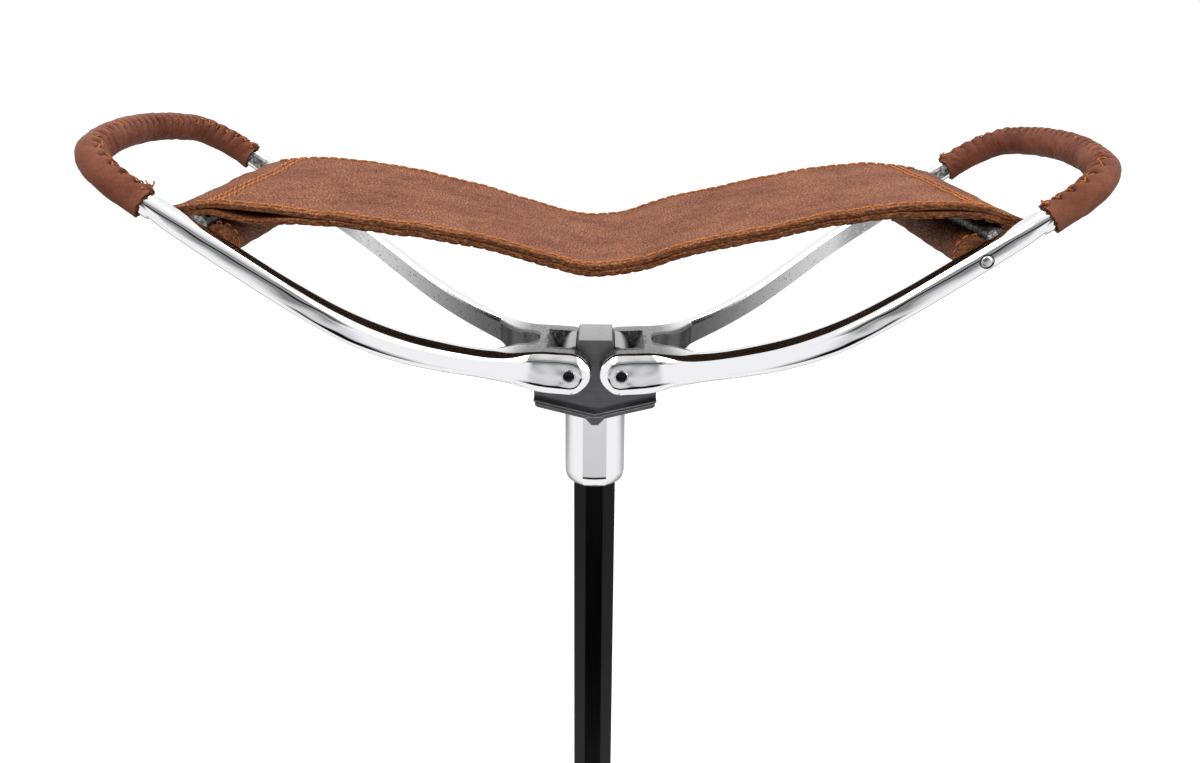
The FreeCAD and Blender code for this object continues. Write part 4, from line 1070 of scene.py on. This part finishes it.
print("stage: sling")
sling = {
    "half": 58.9, "ply": 2.4, "gap": 0.12, "end": 170.6, "bottomShort": 2.0, "stitchIn": 3.0,
    "stitchLong": 4.9, "stitchPitch": 5.1, "stitchRadius": 0.5, "stitchLift": 0.34, "stitchDip": 0.55,
    "near": [(-170.6, 83.0), (-160, 84.6), (-145, 84.6), (-132, 83.2), (-106, 80.2), (-85, 77.9), (-65, 75.3),
             (-36, 69.6), (-19.5, 64.8), (-8, 61.6), (0, 60.8), (8, 61.6), (20, 63.9), (38, 69.6), (67, 76.0),
             (100, 83.2), (120, 86.0), (142, 87.0), (160, 85.2), (170.6, 82.0)],
    "far": [(-170.6, 85.0), (-160, 87.4), (-145, 88.6), (-124, 87.6), (-103, 84.8), (-70, 77.9), (-47, 72.0),
            (-29, 66.6), (-14, 62.4), (0, 60.8), (14, 62.6), (30, 68.0), (65, 76.4), (95, 82.8), (124, 87.4),
            (139, 88.0), (160, 86.4), (170.6, 83.9)],
    "tip": {"left": 7.4, "right": 3.6}, "endRows": (151.6, 155.4), "endRowSlant": 2.4, "blendFrom": 40.0,
    "blendTo": 168.0, "mouths": [(-139, 13, 3.1), (138, 14, 0.7)], "mouthFades": (152, 164),
    "cutWobble": [(0.28, 6.0), (0.16, 1.9)], "rimRound": 0.32, "farTip": 1.5, "tipReach": (8, 6), "tipFrom": 14,
    "bulge": 0.22}


# Height of the sling's top: the near and far edges' curves, joined across, with a dip in the middle and
# slow waves.
def slingTop(x, y):
    share = 0.5 + y / (2 * sling["half"])
    height = curveAt(x, sling["near"]) * (1 - share) + curveAt(x, sling["far"]) * share
    dip = 0.5 * (1 - (y / sling["half"]) ** 2) * bell(x / 60)
    edge = 0.22 * waves(x, y, 34.0, 3) + 0.10 * waves(x, y, 11.0, 4)
    return height - dip + edge


# How far the plies part near the ends: a bell along x on each side, most at the near edge. A mouth is
# its middle, its reach and its depth.
def mouth(x, y):
    opened = sum(depth * bell((x - at) / reach) for at, reach, depth in sling["mouths"])
    nearness = np.clip(0.5 - y / (2 * sling["half"]), 0, 1) ** 1.4
    return opened * (1 - smooth(np.abs(x), *sling["mouthFades"])) * (0.35 + 0.65 * nearness)


# A point on the sling at a depth below its top: 0 to ply is the top ply, below that the bottom ply.
def plySurface(x, y, level):
    depth = np.where(level > sling["ply"] + 0.01, level + mouth(x, y), level)
    return np.stack([x, y, slingTop(x, y) - depth], -1)


# A closed strip: top face, bottom face, two long edges and the cut end, with uneven raw edges and corners
# that run out to a tip.
def plyGrids(side, low, high, xEnd):
    sign, half = sides[side], sling["half"]
    x = sign * np.concatenate([np.linspace(0, 30, 31), np.linspace(31.5, xEnd, 92)])
    y = np.concatenate([[-half], np.linspace(-half + 0.5, half - 0.5, 60), [half]])
    xx, yy = np.meshgrid(x, y, indexing="ij")
    seed = int(low * 10) + 30
    wobble = sum(height * waves(x, 0 * x, size, seed + step)
                 for step, (height, size) in enumerate(sling["cutWobble"]))
    yy = yy + np.where(np.abs(yy) > half - 0.01, np.sign(yy) * wobble[:, None], 0)
    nearReach, farReach = sling["tipReach"]
    tip = sling["tip"][side] * bell((yy + half) / nearReach) + sling["farTip"] * bell((yy - half) / farReach)
    xx = xx + sign * tip * smooth(np.abs(xx), xEnd - sling["tipFrom"], xEnd)
    roundOff = np.where(np.abs(yy) > half - 0.3, sling["rimRound"], 0.0)
    top = plySurface(xx, yy, low + roundOff)
    bottom = plySurface(xx, yy, high - roundOff)
    # The bottom ply's lower face takes the flesh side with its painted shade
    grids = [{"points": top}, {"points": bottom, "material": 2 if low > 0 else 0}]
    levels = np.linspace(0, 1, 7)
    for column in (0, -1):
        cutEdge = top[:, column, None] + (bottom[:, column] - top[:, column])[:, None] * levels[None, :, None]
        bulge = sling["bulge"] * waves(x[:, None], levels[None] * 2.4, 1.3, 50 + column) + 0.15
        bulge[:, [0, -1]] = 0
        cutEdge[..., 1] += bulge * (-1 if column == 0 else 1)
        grids.append({"points": cutEdge, "material": 1})
    cutEnd = top[-1, :, None] + (bottom[-1] - top[-1])[:, None] * levels[None, :, None]
    return grids + [{"points": cutEnd, "material": 1}]


# A piece of the sling, given the places from the root's middle to the arm's end, and left where it is.
def slingPiece(side, name, grids, materials, replaced, angle):
    ends = [(sides[side] * sling[key], 0, 0) for key in ("blendFrom", "blendTo")]
    meshPiece(side + name, grids, materials, side + "_arm_body", replaced, angle, ends)


# Stitches along both long edges and two slanting rows across the end, as short threads that dip at their
# ends.
def stitchGrids(side, face):
    sign = sides[side]
    inset = sling["half"] - sling["stitchIn"]
    r = np.random.default_rng(70 + sign + face)
    rows = []
    count = int((sling["end"] - 3) / sling["stitchPitch"])
    centres = (np.arange(count) + 0.5) * sling["stitchPitch"]
    for y in (-inset, inset):
        rows.append((sign * centres, np.full(count, y), np.full(count, 1.0), np.zeros(count)))
    across = int(2 * inset / sling["stitchPitch"])
    ys = (np.arange(across) + 0.5) * (2 * inset / across) - inset
    for x in sling["endRows"]:
        slanted = x - sling["endRowSlant"] * ys / sling["half"]
        rows.append((sign * slanted, ys, np.zeros(across), np.ones(across)))
    x, y, dx, dy = (np.concatenate(part)[:, None] for part in zip(*rows))
    t = np.linspace(-0.5, 0.5, 7)
    length = sling["stitchLong"] * (1 + r.normal(0, 0.05, len(x)))[:, None]
    slant = r.normal(0.06, 0.05, len(x))[:, None]
    px = x + (dx - slant * dy) * length * t + r.normal(0, 0.1, (len(x), 1))
    py = y + (dy + slant * dx) * length * t + r.normal(0, 0.12, (len(x), 1))
    lift = sling["stitchLift"] - sling["stitchDip"] * (2 * t) ** 6
    depth = (-lift if face > 0 else 2 * sling["ply"] + sling["gap"] + lift) + 0 * px
    threads = threadRun(plySurface(px, py, depth), sling["stitchRadius"])
    return [{"points": capEnds(points)} for points in threads]


strap = {
    "barOut": 8.0, "barIn": 5.0, "rodOut": 6.9, "rodIn": 3.2, "barTurns": (60, -38), "rodTurns": (-40, -330),
    "barRows": 12, "rodRows": 30, "lump": 0.16, "stitchIn": 4.5, "stitchRadius": 0.42, "stitches": 9}


# The strap's end, as an outer and an inner line: from its folded tip round the crossbar, back to the rod
# and round it. It is carried along y, with slow lumps, raw edges and a row of stitches near both edges.
def strapLoop(side):
    barAt = np.array([arm["barX"], railMiddle(arm["barX"]) + arm["barRise"]])
    middle = np.array([rod["x"], railMiddle(rod["x"])])
    barRing = onCircle(np.linspace(*np.radians(strap["barTurns"]), strap["barRows"]))
    rodRing = onCircle(np.linspace(*np.radians(strap["rodTurns"]), strap["rodRows"]))
    line, innerLine = (np.concatenate([barAt + strap["bar" + key] * barRing,
                                       middle + strap["rod" + key] * rodRing]) for key in ("Out", "In"))
    half = sling["half"] + 0.2
    y = np.concatenate([[-half], np.linspace(-half + 0.5, half - 0.5, 70), [half]])[:, None]
    loop = np.concatenate([line, innerLine[::-1], line[:1]])
    lump = strap["lump"] * waves(y, runAlong(loop)[None], 16.0, 90)
    lump[:, -1] = lump[:, 0]
    outwards = loop - middle
    outwards /= np.linalg.norm(outwards, axis=1, keepdims=True)
    shifted = loop + outwards * lump[..., None]
    points = np.stack([shifted[..., 0], y + 0 * lump, shifted[..., 1]], -1)
    n = len(line)
    grids = [{"points": points}]
    share = np.linspace(0, 1, 5)[None, :, None]
    for row in (0, -1):
        a, b = points[row, :n, None], points[row, n:2 * n, None][::-1]
        grids.append({"points": a + (b - a) * share, "material": 1})
    stitches = []
    r = np.random.default_rng(81)
    t = np.linspace(0, 1, 6)
    for yEdge in (strap["stitchIn"] - half - 0.2, half + 0.2 - strap["stitchIn"]):
        for k in np.linspace(12, n - 8, strap["stitches"]).astype(int):
            a, b = line[k], line[min(k + 2, n - 1)]
            away = (a + b) / 2 - middle
            away /= np.linalg.norm(away)
            path = a + (b - a) * t[:, None] + away * (0.25 + 0.5 * np.sin(math.pi * t))[:, None]
            stitches.append(np.insert(path, 1, yEdge + r.normal(0, 0.1), axis=1))
    threads = threadRun(np.array(stitches), strap["stitchRadius"])
    grids += [{"points": capEnds(points), "material": 2} for points in threads]
    sidePiece(side, "StrapLoop", grids, [slingLeather, rawEdge, thread], "strap_loop", 45)


for side in sides:
    first = side == "right"  # its plies stand for the whole ones
    ply, gap, end = sling["ply"], sling["gap"], sling["end"]
    for name, low, high, xEnd, node in (("SlingTop", 0.0, ply, end, "sling_top_ply"),
                                        ("SlingBottom", ply + gap, 2 * ply + gap, end - sling["bottomShort"],
                                         "sling_bottom_ply")):
        slingPiece(side, name, plyGrids(side, low, high, xEnd), [slingLeather, rawEdge, fleshSideShaded],
                   [node] if first else [], 40)
    for face, tag in ((1, "Upper"), (-1, "Under")):
        slingPiece(side, tag + "Stitches", stitchGrids(side, face), [thread], [], 60)
    strapLoop(side)

print("stage: camera, floor and light")
camera = {"place": (2.57, -453.88, 153.12), "pitch": 19.93, "yaw": -0.03, "roll": 0.52, "focal": 978.25,
          "imageWide": 1200, "sensor": 36.0}  # focal is in the photo's pixels


# A lamp is its place, its size in metres and its power.
studio = {
    "floorReach": 14.0, "floor": "#B4B4B4", "floorGlow": 0.88, "room": "#B8B8B8", "lampAim": (0, 0, 40),
    "lamps": {"keyLight": ((-700, -900, 1100), (0.9, 0.9), 14), "fillLight": ((1000, -700, 700), (0.7, 1.2), 8),
              "topLight": ((0, 500, 1300), (1.4, 0.6), 10)},
    "table": [(0.0, "#FFFFFF"), (0.11, "#FFFFFF"), (0.128, "#161616"), (0.245, "#0C0C0C"), (0.275, "#D4D4D4"),
              (0.42, "#E2E2E2"), (0.65, "#BEBEBE"), (1.0, "#8A8A8A")],
    "wall": [(0.0, "#FFFFFF"), (0.04, "#F2F2F2"), (0.09, "#A8A8A8"), (0.2, "#8E8E8E"), (0.3, "#C4C4C4"),
             (0.7, "#E6E6E6")],
    "bands": [(0.0, "#8A8A8A"), (0.05, "#6A6A6A"), (0.08, "#121212"), (0.19, "#0A0A0A"), (0.23, "#8C8C8C"),
              (0.38, "#B4B4B4"), (0.43, "#262626"), (0.47, "#9A9A9A"), (0.66, "#D6D6D6"), (0.84, "#FFFFFF")]}
white = (1, 1, 1, 1)


# Gives an object its three axes and its place.
def aimObject(made, right, up, back, place):
    rows = [(right[i], up[i], back[i], place[i]) for i in range(3)]
    made.matrix_world = Matrix(rows + [(0, 0, 0, 1)])
    bpy.context.scene.collection.objects.link(made)


# The photo's camera: yaw turns its level axis, pitch bends it down, roll turns the picture.
def buildCamera():
    pitch, yaw, roll = (math.radians(camera[key]) for key in ("pitch", "yaw", "roll"))
    forward = np.array([math.sin(yaw) * math.cos(pitch), math.cos(yaw) * math.cos(pitch), -math.sin(pitch)])
    level = np.array([math.cos(yaw), -math.sin(yaw), 0.0])
    above = np.cross(level, forward)
    right = math.cos(roll) * level + math.sin(roll) * above
    up = -math.sin(roll) * level + math.cos(roll) * above
    data = bpy.data.cameras.new("camera")
    data.sensor_fit = "HORIZONTAL"
    data.sensor_width = camera["sensor"]
    data.lens = camera["focal"] / camera["imageWide"] * camera["sensor"]
    data.clip_start = 0.01
    made = bpy.data.objects.new("camera", data)
    aimObject(made, right, up, -forward, toFrame(camera["place"]))
    bpy.context.scene.camera = made


# Glossy surroundings by place on the floor: in front a dark stretch of table, then grey; white to the
# sides; a pale wall behind.
def mirroredFloor(tree):
    x, y, _ = addNode(tree, "SeparateXYZ", {0: addNode(tree, "TexCoord", out="Object")}).node.outputs
    ahead = addNode(tree, "Math", {0: y, 1: -0.25}, operation="MULTIPLY")
    table = addNode(tree, "ValToRGB", {"Fac": ahead}, stops=studio["table"])
    aside = addNode(tree, "Math", {0: x}, operation="ABSOLUTE")
    reach = addNode(tree, "Math", {0: ahead, 1: 4.0, 2: 0.25}, operation="MULTIPLY_ADD")
    share = addNode(tree, "Math", {0: aside, 1: reach}, operation="DIVIDE")
    wide = addNode(tree, "MapRange", {"Value": share, "From Min": 0.25, "From Max": 0.65},
                   interpolation_type="SMOOTHSTEP")
    front = addNode(tree, "Mix", {"Factor": wide, 6: table, 7: white}, 2, data_type="RGBA")
    behind = addNode(tree, "Math", {0: y, 1: 0.25}, operation="MULTIPLY")
    wall = addNode(tree, "ValToRGB", {"Fac": behind}, stops=studio["wall"])
    return addNode(tree, "VectorMath", {0: front, 1: wall}, operation="MULTIPLY")


# White to the camera, the studio's brightness to reflections, a pale floor to other light.
def backdropShader(tree):
    path = addNode(tree, "LightPath").node.outputs
    plain = addNode(tree, "BsdfDiffuse", {"Color": colour(studio["floor"])})
    glow = addNode(tree, "Emission", {"Color": white, "Strength": studio["floorGlow"]})
    seen = addNode(tree, "AddShader", {0: plain, 1: glow})
    mirror = addNode(tree, "Emission", {"Color": mirroredFloor(tree), "Strength": 1.0})
    first = addNode(tree, "MixShader", {0: path["Is Camera Ray"], 1: plain, 2: seen})
    return addNode(tree, "MixShader", {0: path["Is Glossy Ray"], 1: first, 2: mirror})


# A square floor about the middle.
def buildFloor():
    mesh = bpy.data.meshes.new("floor")
    corners = np.array([(-1, -1, 0), (1, -1, 0), (1, 1, 0), (-1, 1, 0)]) * studio["floorReach"]
    mesh.from_pydata(corners.tolist(), [], [(0, 1, 2, 3)])
    floor = bpy.data.objects.new("floor", mesh)
    bpy.context.scene.collection.objects.link(floor)
    material = bpy.data.materials.new("pale_floor")
    material.use_nodes = True
    tree = material.node_tree
    tree.nodes.clear()
    addNode(tree, "OutputMaterial", {"Surface": backdropShader(tree)})
    mesh.materials.append(material)


# A lamp whose back axis is the unit vector from its aim to its place.
def softbox(name, place, size, power):
    data = bpy.data.lights.new(name, "AREA")
    data.shape = "RECTANGLE"
    data.size, data.size_y = size
    data.energy = power
    start, end = toFrame(place), toFrame(studio["lampAim"])
    back = (start - end) / np.linalg.norm(start - end)
    right = np.cross([0, 0, 1], back)
    right /= np.linalg.norm(right)
    aimObject(bpy.data.objects.new(name, data), right, np.cross(back, right), back, start)


# The room: white to the camera, an even grey to matt surfaces, and for reflections white behind, above
# and to the sides, with dark and grey bands in front, where the photographer stands.
def buildWorld():
    world = bpy.data.worlds.new("studio")
    bpy.context.scene.world = world
    world.use_nodes = True
    tree = world.node_tree
    tree.nodes.clear()
    x, y, z = addNode(tree, "SeparateXYZ", {0: addNode(tree, "TexCoord", out="Generated")}).node.outputs
    bands = addNode(tree, "ValToRGB", {"Fac": z}, stops=studio["bands"])
    aside = addNode(tree, "Math", {0: x}, operation="ABSOLUTE")
    front, wide = (addNode(tree, "MapRange", {"Value": value, "From Min": low, "From Max": high},
                           interpolation_type="SMOOTHSTEP")
                   for value, low, high in ((y, -0.15, -0.45), (aside, 0.80, 0.50)))
    ahead = addNode(tree, "Math", {0: front, 1: wide}, operation="MULTIPLY")
    room = addNode(tree, "Mix", {"Factor": ahead, 6: white, 7: bands}, 2, data_type="RGBA")
    path = addNode(tree, "LightPath").node.outputs
    matt = addNode(tree, "Mix", {"Factor": path["Is Glossy Ray"], 6: colour(studio["room"]), 7: room}, 2,
                   data_type="RGBA")
    shown = addNode(tree, "Mix", {"Factor": path["Is Camera Ray"], 6: matt, 7: white}, 2, data_type="RGBA")
    light = addNode(tree, "Background", {"Color": shown, "Strength": 1.0})
    addNode(tree, "OutputWorld", {"Surface": light})


buildCamera()
buildFloor()
for name, lamp in studio["lamps"].items():
    softbox(name, *lamp)
buildWorld()
bpy.context.scene.view_settings.view_transform = "Standard"
